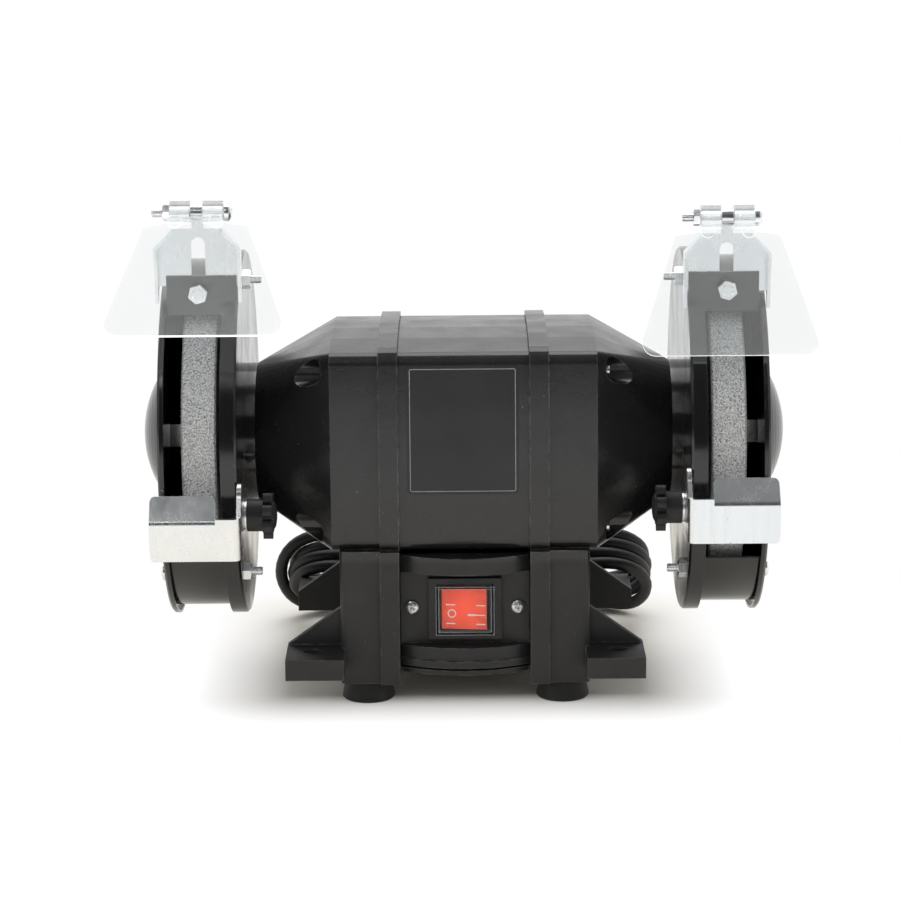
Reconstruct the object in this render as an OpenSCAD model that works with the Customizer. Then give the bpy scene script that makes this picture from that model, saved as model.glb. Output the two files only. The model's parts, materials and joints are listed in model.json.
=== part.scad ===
// Bench grinder with two 150 mm wheels on one motor shaft.
// X runs along the shaft, the front with the switch faces -Y, and Z = 0 is the bench.
// Every shape is drawn for the right-hand side (+X) and mirrored for the left.

/* [Motor housing] */
// Height of the shaft above the bench
shaft_h = 120; // [112:1:130]
// Half of the housing's depth, at the middle of its front face
body_half_d = 57; // [54:0.5:64]
// Half of the housing's height, at the middle of its top face
body_half_h = 50; // [48:0.5:56]
// Radius of the slight bulge of each face
face_r = 420; // [300:10:800]
// Radius of the rounded long edges
edge_r = 6; // [3:0.5:10]
// Half of the width of the middle shell, between the two bands
shell_half_w = 30.6; // [28:0.2:36]
// Width of the raised band at the inner end of each end housing
band_w = 9; // [6:0.5:12]
// How far the band stands proud of the housing's faces
band_proud = 2.3; // [1:0.1:3]
// Length of the straight part of an end housing, band included
cap_w = 31.4; // [26:0.2:38]
// Length of the tapered nose of an end housing
nose_w = 36.4; // [30:0.2:44]
// Diameter of the nose where it meets the guard
neck_d = 66; // [60:0.5:72]
// Wall of the castings
cast_wall = 4; // [3:0.5:5]
// Wall of the middle shell
shell_wall = 2.5; // [2:0.1:3]

/* [Tie bolts] */
// Distance of the tie bolts in front of and behind the shaft
tie_y = 46; // [44:0.5:48]
// Distance of the tie bolts above and below the shaft
tie_z = 37; // [34:0.5:39]
// Diameter of the round pockets that the tie bolts sit in
tie_pocket_d = 12.6; // [11:0.1:13]
// Diameter of the tie bolts
tie_d = 5; // [4:0.5:5]
// Height of a tie bolt's head
tie_head_h = 3.5; // [3:0.1:4]

/* [Pedestal and feet] */
// Half of the pedestal's width
ped_half_w = 58.5; // [56:0.5:62]
// Half of the pedestal's depth
ped_half_d = 58; // [56:0.5:62]
// Height of the pedestal's lower edge above the bench
ped_z = 10; // [8:0.5:13]
// Rounding of the pedestal's upright edges
ped_r = 3; // [2:0.5:4]
// Distance of a bolting pad's outer edge from the middle of the machine
pad_x = 83.7; // [80:0.1:90]
// Distance of a pad's front or rear edge from the shaft's plane
pad_y = 78; // [74:0.5:84]
// Depth of a pad
pad_d = 28; // [24:0.5:32]
// Height of a pad's underside above the bench
pad_z = 17.6; // [15:0.1:20]
// Thickness of a pad
pad_t = 9.8; // [7:0.1:11]
// Thickness of the rib that stands on a pad
rib_t = 4; // [3:0.5:5]
// Height of the rib above its pad, at the pedestal
rib_h = 18; // [14:0.5:24]
// Diameter of the bolt holes in the pads
pad_hole_d = 8.5; // [7:0.1:10]
// Distance of the bolt holes from the middle of the machine
hole_x = 71.7; // [70:0.1:75]
// Distance of the bolt holes from the shaft's plane
hole_y = 62; // [60:0.5:66]
// Diameter of a rubber foot at the bench
foot_d = 25; // [22:0.5:26]
// Diameter of a rubber foot at the pedestal
foot_top_d = 22; // [20:0.5:24]
// Distance of the rubber feet from the middle of the machine
foot_x = 46; // [44:0.5:47]
// Distance of the rubber feet from the shaft's plane
foot_y = 44.5; // [42:0.5:46]

/* [Front and rear panels] */
// Height of a panel's lower edge above the bench
panel_z = 18.4; // [17.6:0.1:20]
// Distance of a panel's ends from the shaft's plane
panel_y = 52.5; // [50:0.5:54]
// How far a panel bows outwards in its middle
panel_bow = 9.5; // [6:0.5:11]
// Thickness of a panel's plate
panel_t = 2.5; // [2:0.1:3]
// Height of the recess's lower edge above the bench
recess_z = 28; // [26:0.5:30]
// Height of the recess
recess_h = 35; // [33:0.5:36]
// Height of the bead along a panel's lower edge
bead_h = 3.4; // [2.5:0.1:4]
// Thickness of the base plate
base_t = 2.3; // [1.5:0.1:2.5]
// Height of the base plate above the bench
base_z = 15; // [14:0.1:15.5]
// Distance of the panel screws from the middle
panel_screw_x = 25; // [24:0.1:26]
// Height of the panel screws above the bench
panel_screw_z = 45.6; // [44:0.1:47]

/* [Switch] */
// Width of the switch's frame
bezel_w = 34.4; // [32:0.2:36]
// Height of the switch's frame
bezel_h = 29.5; // [28:0.2:31]
// How far the switch's frame stands off the panel
bezel_t = 3; // [2:0.1:4]
// Height of the middle of the switch above the bench
switch_z = 45.2; // [44:0.1:47]
// Width of the rocker
rocker_w = 22.6; // [20:0.2:24]
// Height of the rocker
rocker_h = 19.6; // [18:0.2:20]
// Angle between the rocker's two faces and its frame, in degrees
rocker_tilt = 7; // [5:0.5:9]
// Width of the clear splash cover
splash_w = 27.4; // [27:0.1:28]
// Height of the clear splash cover
splash_h = 23.4; // [23:0.1:24.4]

/* [Shaft and motor] */
// Diameter of the shaft in the bearings
bearing_bore_d = 15; // [15:1:17]
// Diameter of the shaft in the wheels
spindle_d = 12.7; // [12:0.1:13]
// Reach of the shaft's ends past the wheels' middle planes
spindle_l = 24; // [21.5:0.5:25.5]
// Depth of a bearing's inner face behind the nose's end
bearing_depth = 14.4; // [12.4:0.1:18.4]
// Width of a bearing
bearing_w = 11; // [9:0.5:11]
// Outer diameter of a bearing
bearing_d = 35; // [32:0.5:36]
// Length of the rotor and stator stacks
stack_w = 50; // [40:1:54]
// Diameter of the rotor
rotor_d = 58.4; // [50:0.1:60]
// Radial air gap between the rotor and the stator
air_gap = 0.3; // [0.3:0.05:0.5]
// Outer diameter of the stator
stator_d = 94.4; // [88:0.1:94.4]

/* [Grinding wheels] */
// Diameter of a grinding wheel
wheel_d = 150; // [140:1:150]
// Width of a grinding wheel
wheel_w = 16; // [12:0.5:18]
// Distance of a wheel's middle plane from the guard's inner wall
wheel_in_guard = 18; // [17.5:0.1:18.4]
// Diameter of the clamping flanges
flange_d = 56; // [44:1:60]
// Thickness of a clamping flange
flange_t = 2.7; // [2:0.1:3]
// Thickness of the paper washer between a flange and its wheel
blotter_t = 0.8; // [0.5:0.1:1]
// Size of the spindle nuts across their flats
spindle_nut_af = 19; // [17:1:19]
// Height of a spindle nut
spindle_nut_h = 9.5; // [8:0.5:10]

/* [Wheel guards] */
// Radius of the guard's side walls
guard_r = 87; // [85:0.5:90]
// Outer radius of the guard's drum
drum_r = 83; // [82.4:0.1:84]
// Thickness of the guard's drum and cover
sheet_t = 1.2; // [1:0.1:1.2]
// Thickness of the guard's inner wall
guard_wall = 1.5; // [1.2:0.1:1.6]
// Width of the inner wall's turned rim
guard_rim_w = 7.5; // [5:0.1:7.5]
// How far the guard's wall stands out from its dished seat
dish_h = 5.1; // [4.8:0.1:5.6]
// Width of a guard over its wall and cover
guard_w = 35.9; // [35.6:0.1:36.5]
// Width of the cover's turned rim
cover_rim_w = 2.8; // [2:0.1:3]
// Radius of the cover's dome at its foot
dome_r = 36; // [30:0.5:40]
// Height of the cover's dome
dome_h = 14; // [13:0.5:16]
// Angle from the top at which the drum ends in front, in degrees
mouth_top_a = 37; // [37:0.5:39]
// Angle from the bottom at which the drum ends in front, in degrees
mouth_low_a = 55; // [45:1:60]
// Height of the flange above the drum's upper end
flange_h = 17; // [16:0.5:18]
// How far the clamp bolt's head stands off the flange
flange_bolt_out = 4; // [0:0.5:5]
// Radius of the circle of the three long guard screws
screw_circle_r = 79; // [78.8:0.1:79.2]
// Diameter of the long guard screws
guard_screw_d = 4.4; // [4:0.1:4.6]

/* [Eye shields and their brackets] */
// Thickness of the bracket's plate
bracket_t = 1.5; // [1.2:0.1:1.5]
// Width between the bracket's side flanges
bracket_in_w = 36.6; // [36.5:0.1:37]
// Height of the bracket's web
bracket_h = 32; // [30:0.5:36]
// Height of the flange bolt above the shaft
flange_bolt_z = 75.6; // [75:0.1:76]
// Height of the lower end of the left bracket above the shaft
bracket_z = 73; // [72.6:0.1:73.2]
// How much lower the right bracket sits
bracket_drop = 4.2; // [3:0.1:4.4]
// Width of the bracket's slot
slot_w = 6.4; // [6:0.1:7]
// Height of the shield's hinge above the bracket's upper edge
hinge_rise = 8; // [7:0.5:10]
// Distance of the shield's hinge in front of the shaft
hinge_y = 50.5; // [50:0.1:52]
// Diameter of the hinge bolt
hinge_d = 4; // [3:0.5:4]
// Outer diameter of the shield's knuckles
knuckle_d = 11; // [9:0.5:12]
// Length of one knuckle
knuckle_w = 9.2; // [8:0.1:10]
// Width of the ear between the knuckles
ear_w = 5.4; // [4:0.1:6]
// Length of the shield below its hinge
shield_l = 65; // [56:0.5:65]
// Width of the shield at its lower edge
shield_w = 80; // [60:1:84]
// Width of the shield at its crease
shield_top_w = 48; // [40:1:54]
// Thickness of the shield
shield_t = 2; // [1.5:0.1:2.5]
// Angle of the left shield from upright, in degrees
shield_left_a = 36; // [24:1:50]
// Angle of the right shield from upright, in degrees
shield_right_a = 20; // [20:1:50]

/* [Tool rests] */
// Distance of the knob bolt in front of the shaft
knob_y = 70; // [69:0.1:71]
// Distance of the left knob bolt below the shaft
knob_left_z = 25; // [22:0.1:25]
// Distance of the right knob bolt below the shaft
knob_right_z = 22.7; // [22:0.1:25]
// Diameter of the knob bolts
knob_bolt_d = 6; // [5:0.5:6]
// Thickness of the tool rest's sheet
rest_t = 2; // [1.6:0.1:2]
// Distance of the tool rest's front face from its bolt
rest_front = 28.5; // [27:0.5:32]
// Width of the tool rest's front plate
rest_w = 41.5; // [38:0.1:42]
// Height of the tool rest's front plate
rest_h = 20.6; // [16:0.1:24]
// Height of the front plate's upper edge above the bolt
rest_rise = 10; // [8:0.1:12]
// Width of the tool rest's lip
lip_w = 30; // [26:0.1:31]
// Length of the tool rest's lip
lip_l = 11; // [10:0.1:11]
// Angle of the lip above level, in degrees
lip_a = 45; // [40:1:55]
// Length of the slot in the arm
rest_slot_l = 18; // [17:0.5:20]
// How far the left tool rest is tipped down, in degrees
rest_tip_a = 10; // [0:1:15]
// Outer radius of the bends in the tool rest's sheet
bend_r = 3.5; // [2.5:0.5:4]
// Radius of the tool rest's corners
corner_r = 2.5; // [1:0.5:4]
// Height of the arm's upper lobe above the bolt
arm_rise = 21.5; // [18:0.5:23]
// Diameter of the knob's shank
shank_d = 15; // [13:0.5:16]
// Length of the knob's shank
shank_l = 7.4; // [6:0.1:8]
// Diameter of the knob's lobed grip
grip_d = 22; // [20:0.5:24]
// Width of the knob's lobed grip
grip_w = 4.4; // [4:0.1:5]
// Diameter of the washer under the knob
rest_washer_d = 14; // [12:0.5:16]
// Number of lobes of the grip
lobes = 7; // [5:1:9]

/* [Mains lead] */
// Diameter of the lead
cord_d = 6.2; // [6:0.1:6.4]
// Length of the strain relief outside the panel
relief_l = 24; // [20:1:24]
// Diameter of the strain relief at the panel
relief_d = 13; // [12:0.5:14]
// Overall length of the tied hank
hank_l = 195; // [180:1:200]
// Width of the tied hank
hank_w = 44; // [40:1:46]
// Thickness of the tied hank
hank_t = 21; // [19:1:22]
// Lean of the hank from level, in degrees
hank_a = 50; // [45:1:55]

/* [Hidden] */

LEFT = -1;
RIGHT = 1;
$fn = 64;
HULL_FN = 32;

paint_black = "#1c1c1e";
gloss_black = "#0c0c0d";
zinc = "#c9ced2";
steel = "#8d9196";
rubber_black = "#161617";

slip = 0.02;          // radial clearance of a running fit
free_gap = 0.3;       // gap between faces that move past each other
bolt_gap = 0.2;       // radial clearance of a bolt in a plain hole
joint_gap = 0.15;     // gap of flat faces that slide on each other

cap_x = shell_half_w + cap_w;
nose_x = cap_x + nose_w;
bearing_x = nose_x - bearing_depth;
guard_x = nose_x + dish_h;                 // outer face of the guard's inner wall
cover_x = guard_x + guard_w;               // outer face of the cover
wheel_x = guard_x + wheel_in_guard;
shaft_end_x = wheel_x + spindle_l;
body_bottom = shaft_h - body_half_h;
ped_top = body_bottom + 4;
wheel_in = wheel_x - wheel_w / 2;
wheel_out = wheel_x + wheel_w / 2;
shoulder_x = wheel_in - blotter_t - flange_t;
tie_floor = 0.4;                         // depth of metal left under a tie bolt's pocket
seat_x = nose_x;                         // face of the guard's dished seat
seat_screw_angles = [0, 120, 240];
seat_screw_r = 26;
seat_screw_d = 4;
seat_screw_l = 8;
guard_screw_angles = [14, 134, 254];     // from the top towards the front
drum_out_x = cover_x - sheet_t;
flange_y = drum_r * sin(mouth_top_a);  // front face of the guard's flange
flange_z = drum_r * cos(mouth_top_a);  // height of the drum's upper end above the shaft
web_y = flange_y - sheet_t - joint_gap;  // front face of the bracket's web
bracket_top = bracket_z + bracket_h;
hinge_z = bracket_top + hinge_rise;
panel_screw_d = 3.5;
foot_screw_d = 4;
floor_y = panel_y - 1;                 // floor of the panel's recess
arm_x = guard_x - joint_gap;           // guard side of the tool rest's arm
arm_out_x = arm_x - rest_t;
washer_t = 1;
// The shaft lies behind the middle of the machine's depth, because the rests reach out in front
fold_z = rest_rise - rest_t * tan(lip_a) - bend_r * tan(45 - lip_a / 2);   // where the lip's bend starts
front_reach = knob_y + (rest_front - bend_r) * cos(rest_tip_a) + fold_z * sin(rest_tip_a) + bend_r;
shaft_y = (front_reach - guard_r) / 2;
knob_x = arm_out_x - joint_gap - washer_t - joint_gap;
gland_z = recess_z + recess_h - 11;     // height of the cord's exit
gland_neck_r = 4.5;

function knob_z(s) = s == LEFT ? knob_left_z : knob_right_z;
function drop(s) = s == LEFT ? 0 : bracket_drop;
function shield_a(s) = s == LEFT ? shield_left_a : shield_right_a;
function tip_a(s) = s == LEFT ? rest_tip_a : 0;

// --- Helpers -----------------------------------------------------------

// Draws its children on one side of the machine
module on_side(s) {
  mirror([s == LEFT ? 1 : 0, 0, 0]) children();
}

// Draws its children as given for 1, or with front and back changed over for -1
module at_front(sy) {
  mirror([0, sy < 0 ? 1 : 0, 0]) children();
}

// Draws its children at all four combinations of signs of X and Y
module four_ways() {
  for (sx = [LEFT, RIGHT]) {
    for (sy = [-1, 1]) {
      on_side(sx) at_front(sy) children();
    }
  }
}

// A solid of revolution about the shaft, its profile given as [radius, x] points
module on_shaft(angle = 360, start = 0) {
  translate([0, 0, shaft_h]) rotate([0, 90, 0]) rotate([0, 0, start])
    rotate_extrude(angle = angle, $fn = 96) children();
}

// A round bar along X from x0 to x1
module bar_x(x0, x1, d, y = 0, z = 0) {
  translate([x0, y, z]) rotate([0, 90, 0]) cylinder(d = d, h = x1 - x0);
}

// A hexagonal prism along X, measured across its flats
module hex_x(x0, x1, af, y = 0, z = 0) {
  translate([x0, y, z]) rotate([0, 90, 0]) cylinder(d = af / cos(30), h = x1 - x0, $fn = 6);
}

// A box given by its two corners
module block(a, b) {
  translate(a) cube([b[0] - a[0], b[1] - a[1], b[2] - a[2]]);
}

// Centre of a corner arc that is tangent to both bulged faces
function corner_centre(hd, hh, r) =
  let (a = face_r - hh, b = face_r - hd, span = norm([a, b]))
  let (reach = sqrt(pow(face_r - r, 2) - pow(span / 2, 2)))
  [-b / 2 + a / span * reach, -a / 2 + b / span * reach];

function arc_points(c, r, a0, a1, n) =
  [for (i = [0:n]) c + r * [cos(a0 + (a1 - a0) * i / n), sin(a0 + (a1 - a0) * i / n)]];

// One quarter of the housing's outline, from the Y axis round to the Z axis
function quarter(hd, hh, r) =
  let (c = corner_centre(hd, hh, r))
  let (a0 = atan2(c[1], c[0] + face_r - hd), a1 = atan2(c[1] + face_r - hh, c[0]))
  concat(
    arc_points([hd - face_r, 0], face_r, 0, a0, 2),
    [for (i = [1:5]) c + r * [cos(a0 + (a1 - a0) * i / 5), sin(a0 + (a1 - a0) * i / 5)]],
    [for (i = [1:2]) [0, hh - face_r] + face_r * [cos(a1 + (90 - a1) * i / 2), sin(a1 + (90 - a1) * i / 2)]]
  );

function signed(p, sy, sz) = [for (q = p) [q[0] * sy, q[1] * sz]];
function back_inner(p) = [for (i = [len(p) - 2:-1:1]) p[i]];

// The whole outline: a rectangle with bulged faces and rounded corners, grown by "more"
function outline(more) =
  let (q = quarter(body_half_d + more, body_half_h + more, max(edge_r + more, 1)))
  concat(q, back_inner(signed(q, -1, 1)), signed(q, -1, -1), back_inner(signed(q, 1, -1)));

// The housing's outline as a bar along X
module body_bar(x0, x1, more = 0) {
  translate([x0, 0, shaft_h]) rotate([90, 0, 90]) linear_extrude(x1 - x0) polygon(outline(more));
}

// --- Castings ----------------------------------------------------------

// Plan of one half of the pedestal
module pedestal_plan(more = 0) {
  translate([shell_half_w - more, -ped_half_d - more])
    square([ped_half_w - shell_half_w + 2 * more - ped_r, 2 * ped_half_d + 2 * more]);
  translate([ped_half_w - 2 * ped_r + more, -ped_half_d - more + ped_r])
    square([2 * ped_r, 2 * (ped_half_d + more - ped_r)]);
  for (sy = [-1, 1]) {
    translate([ped_half_w + more - ped_r, sy * (ped_half_d + more - ped_r)]) circle(ped_r);
  }
}

module pad_and_rib() {
  pad_in_x = ped_half_w - 2;
  rib_y = pad_y - pad_d - rib_t + 0.5;
  block([pad_in_x, pad_y - pad_d, pad_z], [pad_x, pad_y, pad_z + pad_t]);
  translate([0, rib_y + rib_t, 0]) rotate([90, 0, 0]) linear_extrude(rib_t)
    polygon([
      [pad_in_x, pad_z], [pad_x, pad_z], [pad_x, pad_z + pad_t],
      [ped_half_w, pad_z + pad_t + rib_h], [pad_in_x, pad_z + pad_t + rib_h]
    ]);
}

// Inner cut of the housing: motor space, nose, bearing seat and pedestal
module housing_hollow() {
  body_bar(shell_half_w - 1, cap_x - cast_wall, -cast_wall);
  nose_cavity();
  bar_x(bearing_x, bearing_x + bearing_w + 0.2, bearing_d, z = shaft_h);
  bar_x(bearing_x, nose_x + 1, bearing_bore_d + 4, z = shaft_h);
  block([shell_half_w - 1, -ped_half_d + cast_wall, ped_z - 1],
        [ped_half_w - cast_wall, ped_half_d - cast_wall, body_bottom - cast_wall]);
}

// The round cavity in the nose, from the motor space to the bearing seat
module nose_cavity() {
  wide_r = body_half_h - cast_wall - 2;
  narrow_r = bearing_d / 2 + 2.5;
  start_x = cap_x - cast_wall;
  on_shaft() polygon([
    [0, start_x - 1], [wide_r, start_x - 1], [wide_r, start_x + 3],
    [narrow_r, bearing_x - 2], [bearing_d / 2 - 1, bearing_x - 2], [bearing_d / 2 - 1, bearing_x + 1],
    [0, bearing_x + 1]
  ]);
}

// Pockets and holes of the tie bolts
module tie_holes() {
  for (sy = [-1, 1]) {
    for (sz = [-1, 1]) {
      bar_x(cap_x + tie_floor, nose_x + 1, tie_pocket_d, sy * tie_y, shaft_h + sz * tie_z);
      bar_x(cap_x - cast_wall - 1, cap_x + 1, tie_d + 2 * bolt_gap, sy * tie_y, shaft_h + sz * tie_z);
    }
  }
}

// Blind holes in the nose for the screws that hold the guard
module seat_holes() {
  for (a = seat_screw_angles) {
    bar_x(nose_x - seat_screw_l - 1, nose_x + 1, seat_screw_d + 2 * slip,
          seat_screw_r * sin(a), shaft_h + seat_screw_r * cos(a));
  }
}

// Lug behind a panel that takes a panel screw, joined to the pedestal's front wall
module screw_lug() {
  lug_y = floor_y - panel_t - 0.1;
  difference() {
    union() {
      block([panel_screw_x - 5, -lug_y, panel_screw_z - 6],
            [shell_half_w + cast_wall, -lug_y + 6, panel_screw_z + 6]);
      block([shell_half_w + 0.1, -ped_half_d + cast_wall - 0.5, panel_screw_z - 6],
            [shell_half_w + cast_wall, -lug_y + 1, panel_screw_z + 6]);
    }
    translate([panel_screw_x, -lug_y - 1, panel_screw_z]) rotate([-90, 0, 0])
      cylinder(d = panel_screw_d + 2 * slip, h = 8);
  }
}

// Corner shelf and boss that a rubber foot is screwed to
module foot_shelf() {
  difference() {
    union() {
      block([foot_x - 13, foot_y - 13, ped_z], [ped_half_w - 1, ped_half_d - 1, ped_z + 3]);
      translate([foot_x, foot_y, ped_z]) cylinder(d = 12, h = base_z - ped_z - 0.1);
    }
    translate([foot_x, foot_y, ped_z - 1]) cylinder(d = foot_screw_d + 2 * bolt_gap, h = 10);
  }
}

module housing(s) {
  color(paint_black) on_side(s) {
    difference() {
      union() {
        body_bar(shell_half_w, cap_x);
        body_bar(shell_half_w, shell_half_w + band_w, band_proud);
        hull() {
          body_bar(cap_x - 0.2, cap_x);
          bar_x(nose_x - 0.2, nose_x, neck_d, z = shaft_h, $fn = 48);
        }
        translate([0, 0, ped_z]) linear_extrude(ped_top - ped_z) pedestal_plan();
        block([shell_half_w, -ped_half_d - band_proud, ped_z],
              [shell_half_w + band_w, ped_half_d + band_proud, ped_top]);
        for (sy = [-1, 1]) {
          at_front(sy) pad_and_rib();
        }
      }
      housing_hollow();
      tie_holes();
      seat_holes();
      for (sy = [-1, 1]) {
        translate([hole_x, sy * hole_y, pad_z - 1]) cylinder(d = pad_hole_d, h = pad_t + 2);
      }
    }
    for (sy = [-1, 1]) {
      at_front(sy) {
        screw_lug();
        foot_shelf();
      }
    }
  }
}

// Middle shell, drawn over the stator
module motor_shell() {
  color(paint_black) difference() {
    body_bar(-shell_half_w + 0.05, shell_half_w - 0.05);
    body_bar(-shell_half_w - 1, shell_half_w + 1, -shell_wall);
    translate([0, 0, body_bottom - 5]) cylinder(d = 14, h = 10);
  }
}

// --- Panels and base plate -----------------------------------------------

panel_half_w = shell_half_w - 0.2;
bow_r = (pow(panel_half_w, 2) + pow(panel_bow, 2)) / (2 * panel_bow);
panel_top = body_bottom + 1.2;
ledge_t = 2;

// Plan of the space behind a bowed panel face, grown outwards by "more"
module bow_plan(more = 0, back = 0) {
  intersection() {
    translate([0, -(panel_y + panel_bow - bow_r)]) circle(bow_r + more, $fn = 128);
    translate([-panel_half_w, -panel_y - panel_bow - 5]) square([2 * panel_half_w, panel_bow + 7.5 + back]);
  }
}

module bow_skin(z0, z1, more = 0) {
  translate([0, 0, z0]) linear_extrude(z1 - z0) difference() {
    bow_plan(more);
    translate([0, -(panel_y + panel_bow - bow_r)]) circle(bow_r - panel_t, $fn = 128);
  }
}

module bow_shelf(z0, z1) {
  translate([0, 0, z0]) linear_extrude(z1 - z0) bow_plan();
}

// A bowed panel with a flat-bottomed recess and a bead along its lower edge
module panel() {
  floor_z = recess_z + recess_h;
  difference() {
    union() {
      difference() {
        bow_skin(panel_z, panel_top);
        block([-panel_half_w - 1, -panel_y - panel_bow - 9, recess_z],
              [panel_half_w + 1, -floor_y, floor_z]);
      }
      bow_skin(panel_z, panel_z + bead_h, 1.2);
      bow_shelf(recess_z - ledge_t, recess_z);
      bow_shelf(floor_z, floor_z + ledge_t);
      bow_shelf(panel_top - ledge_t, panel_top);
      block([-panel_half_w, -floor_y, recess_z - ledge_t],
            [panel_half_w, -floor_y + panel_t, floor_z + ledge_t]);
    }
    for (sx = [LEFT, RIGHT]) {
      translate([sx * panel_screw_x, -floor_y - 1, panel_screw_z]) rotate([-90, 0, 0])
        cylinder(d = panel_screw_d + 2 * bolt_gap, h = panel_t + 2);
    }
  }
}

switch_hole_w = splash_w - 1;
switch_hole_h = splash_h - 1;

module switch_panel() {
  color(paint_black) difference() {
    panel();
    block([-switch_hole_w / 2 - 0.1, -floor_y - 1, switch_z - switch_hole_h / 2 - 0.1],
          [switch_hole_w / 2 + 0.1, -floor_y + panel_t + 1, switch_z + switch_hole_h / 2 + 0.1]);
  }
}

module rear_panel() {
  color(paint_black) at_front(-1) difference() {
    panel();
    translate([0, -floor_y - 1, gland_z]) rotate([-90, 0, 0])
      cylinder(r = gland_neck_r + 2 * slip, h = panel_t + 2);
  }
}

module base_plate() {
  color(paint_black) difference() {
    translate([0, 0, base_z]) linear_extrude(base_t) union() {
      square([2 * (ped_half_w - cast_wall - 0.2), 2 * (ped_half_d - cast_wall - 0.2)], center = true);
      bow_plan(0.6, 1);
      mirror([0, 1]) bow_plan(0.6, 1);
    }
    four_ways() translate([foot_x, foot_y, base_z - 1]) cylinder(d = foot_screw_d + 2 * bolt_gap, h = base_t + 2);
    translate([0, 20, base_z - 1]) cylinder(d = 8, h = base_t + 2);
  }
}

module rubber_feet() {
  color(rubber_black) four_ways() translate([foot_x, foot_y, 0]) difference() {
    rotate_extrude() polygon([
      [0, 0], [foot_d / 2 - 1, 0], [foot_d / 2, 1], [foot_top_d / 2, ped_z], [0, ped_z]
    ]);
    translate([0, 0, -1]) cylinder(d = 9, h = 5);
    cylinder(d = foot_screw_d + 2 * bolt_gap, h = ped_z + 1);
  }
}

// Screws that run up through the feet, with their nuts on the base plate
module foot_screws() {
  top_z = base_z + base_t;
  color(zinc) four_ways() translate([foot_x, foot_y, 0]) {
    translate([0, 0, 1.4]) cylinder(d = 8, h = 2.6);
    translate([0, 0, 3.9]) cylinder(d = foot_screw_d, h = top_z + 4 - 3.9);
    translate([0, 0, top_z]) cylinder(d = 7 / cos(30), h = 3.2, $fn = 6);
  }
}

module panel_screws() {
  color(zinc) for (sy = [1, -1]) {
    for (sx = [LEFT, RIGHT]) {
      at_front(sy) translate([sx * panel_screw_x, -floor_y, panel_screw_z]) rotate([90, 0, 0])
        screw(panel_screw_d, 6.4, 2.2, panel_t + 5);
    }
  }
}

// A pan-head screw along Z: its head above Z = 0 and its shank below
module screw(d, head_d, head_h, l) {
  translate([0, 0, -l]) cylinder(d = d, h = l + 0.5);
  rotate_extrude() polygon([
    [0, 0], [head_d / 2, 0], [head_d / 2, head_h * 0.45], [head_d / 2 * 0.85, head_h * 0.8],
    [head_d / 2 * 0.5, head_h], [0, head_h]
  ]);
}

module tie_bolts() {
  seat = cap_x + tie_floor;
  color(zinc) for (sy = [-1, 1]) {
    for (sz = [-1, 1]) {
      translate([0, sy * tie_y, shaft_h + sz * tie_z]) {
        bar_x(-seat - 0.5, seat + tie_head_h + 2, tie_d);
        hex_x(-seat - tie_head_h, -seat, 8);
      }
    }
  }
}

module tie_nuts() {
  seat = cap_x + tie_floor;
  color(zinc) for (sy = [-1, 1]) {
    for (sz = [-1, 1]) {
      translate([0, sy * tie_y, shaft_h + sz * tie_z]) difference() {
        hex_x(seat, seat + tie_head_h, 8);
        bar_x(seat - 1, seat + tie_head_h + 1, tie_d + 2 * slip);
      }
    }
  }
}

// --- Switch --------------------------------------------------------------

bezel_y = floor_y + bezel_t;
rocker_pivot_y = bezel_y - 4;
rocker_thick = 7;

module switch_frame() {
  color(gloss_black) difference() {
    union() {
      block([-bezel_w / 2, -bezel_y, switch_z - bezel_h / 2], [bezel_w / 2, -floor_y, switch_z + bezel_h / 2]);
      block([-switch_hole_w / 2, -floor_y - 1, switch_z - switch_hole_h / 2],
            [switch_hole_w / 2, -floor_y + 24, switch_z + switch_hole_h / 2]);
    }
    block([-rocker_w / 2 - free_gap, -bezel_y - 1, switch_z - rocker_h / 2 - free_gap],
          [rocker_w / 2 + free_gap, -floor_y + 9, switch_z + rocker_h / 2 + free_gap]);
    translate([0, -rocker_pivot_y, switch_z - bezel_h / 2 + 1.5]) cylinder(d = 3 + 2 * slip, h = bezel_h - 3);
  }
  color(steel) for (x = [-8, 0, 8]) {
    block([x - 0.4, -floor_y + 23.5, switch_z - 3], [x + 0.4, -floor_y + 32, switch_z + 3]);
  }
}

// The rocker in its off position: two flat faces that meet in a shallow valley
module rocker() {
  half = rocker_w / 2;
  edge = half - 0.6;
  valley = 1.6;
  lift = half * tan(rocker_tilt);
  color("#c8281c") {
    translate([0, -rocker_pivot_y, switch_z - rocker_h / 2]) rotate([0, 0, -rocker_tilt])
      linear_extrude(rocker_h) polygon([
        [-edge, -3.2 - lift / 2], [0, -3.2 - valley * 0.4], [edge, -3.2 - lift / 2],
        [edge - 0.8, -0.5], [4, 3.6], [-4, 3.6], [-edge + 0.8, -0.5]
      ]);
    translate([0, -rocker_pivot_y, switch_z - rocker_h / 2 - 1.4]) cylinder(d = 3, h = rocker_h + 2.8);
  }
}

// Clear flexible cover over the rocker: a rim on the frame and a thin window
module splash_cover() {
  rim = 2;
  out = 4.2;
  color([0.9, 0.9, 0.92, 0.3]) difference() {
    block([-splash_w / 2, -bezel_y - out, switch_z - splash_h / 2], [splash_w / 2, -bezel_y, switch_z + splash_h / 2]);
    block([-splash_w / 2 + rim * 0.6, -bezel_y - out + 1, switch_z - splash_h / 2 + rim * 0.6],
          [splash_w / 2 - rim * 0.6, -bezel_y + 1, switch_z + splash_h / 2 - rim * 0.6]);
  }
}

// --- Motor ---------------------------------------------------------------

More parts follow.
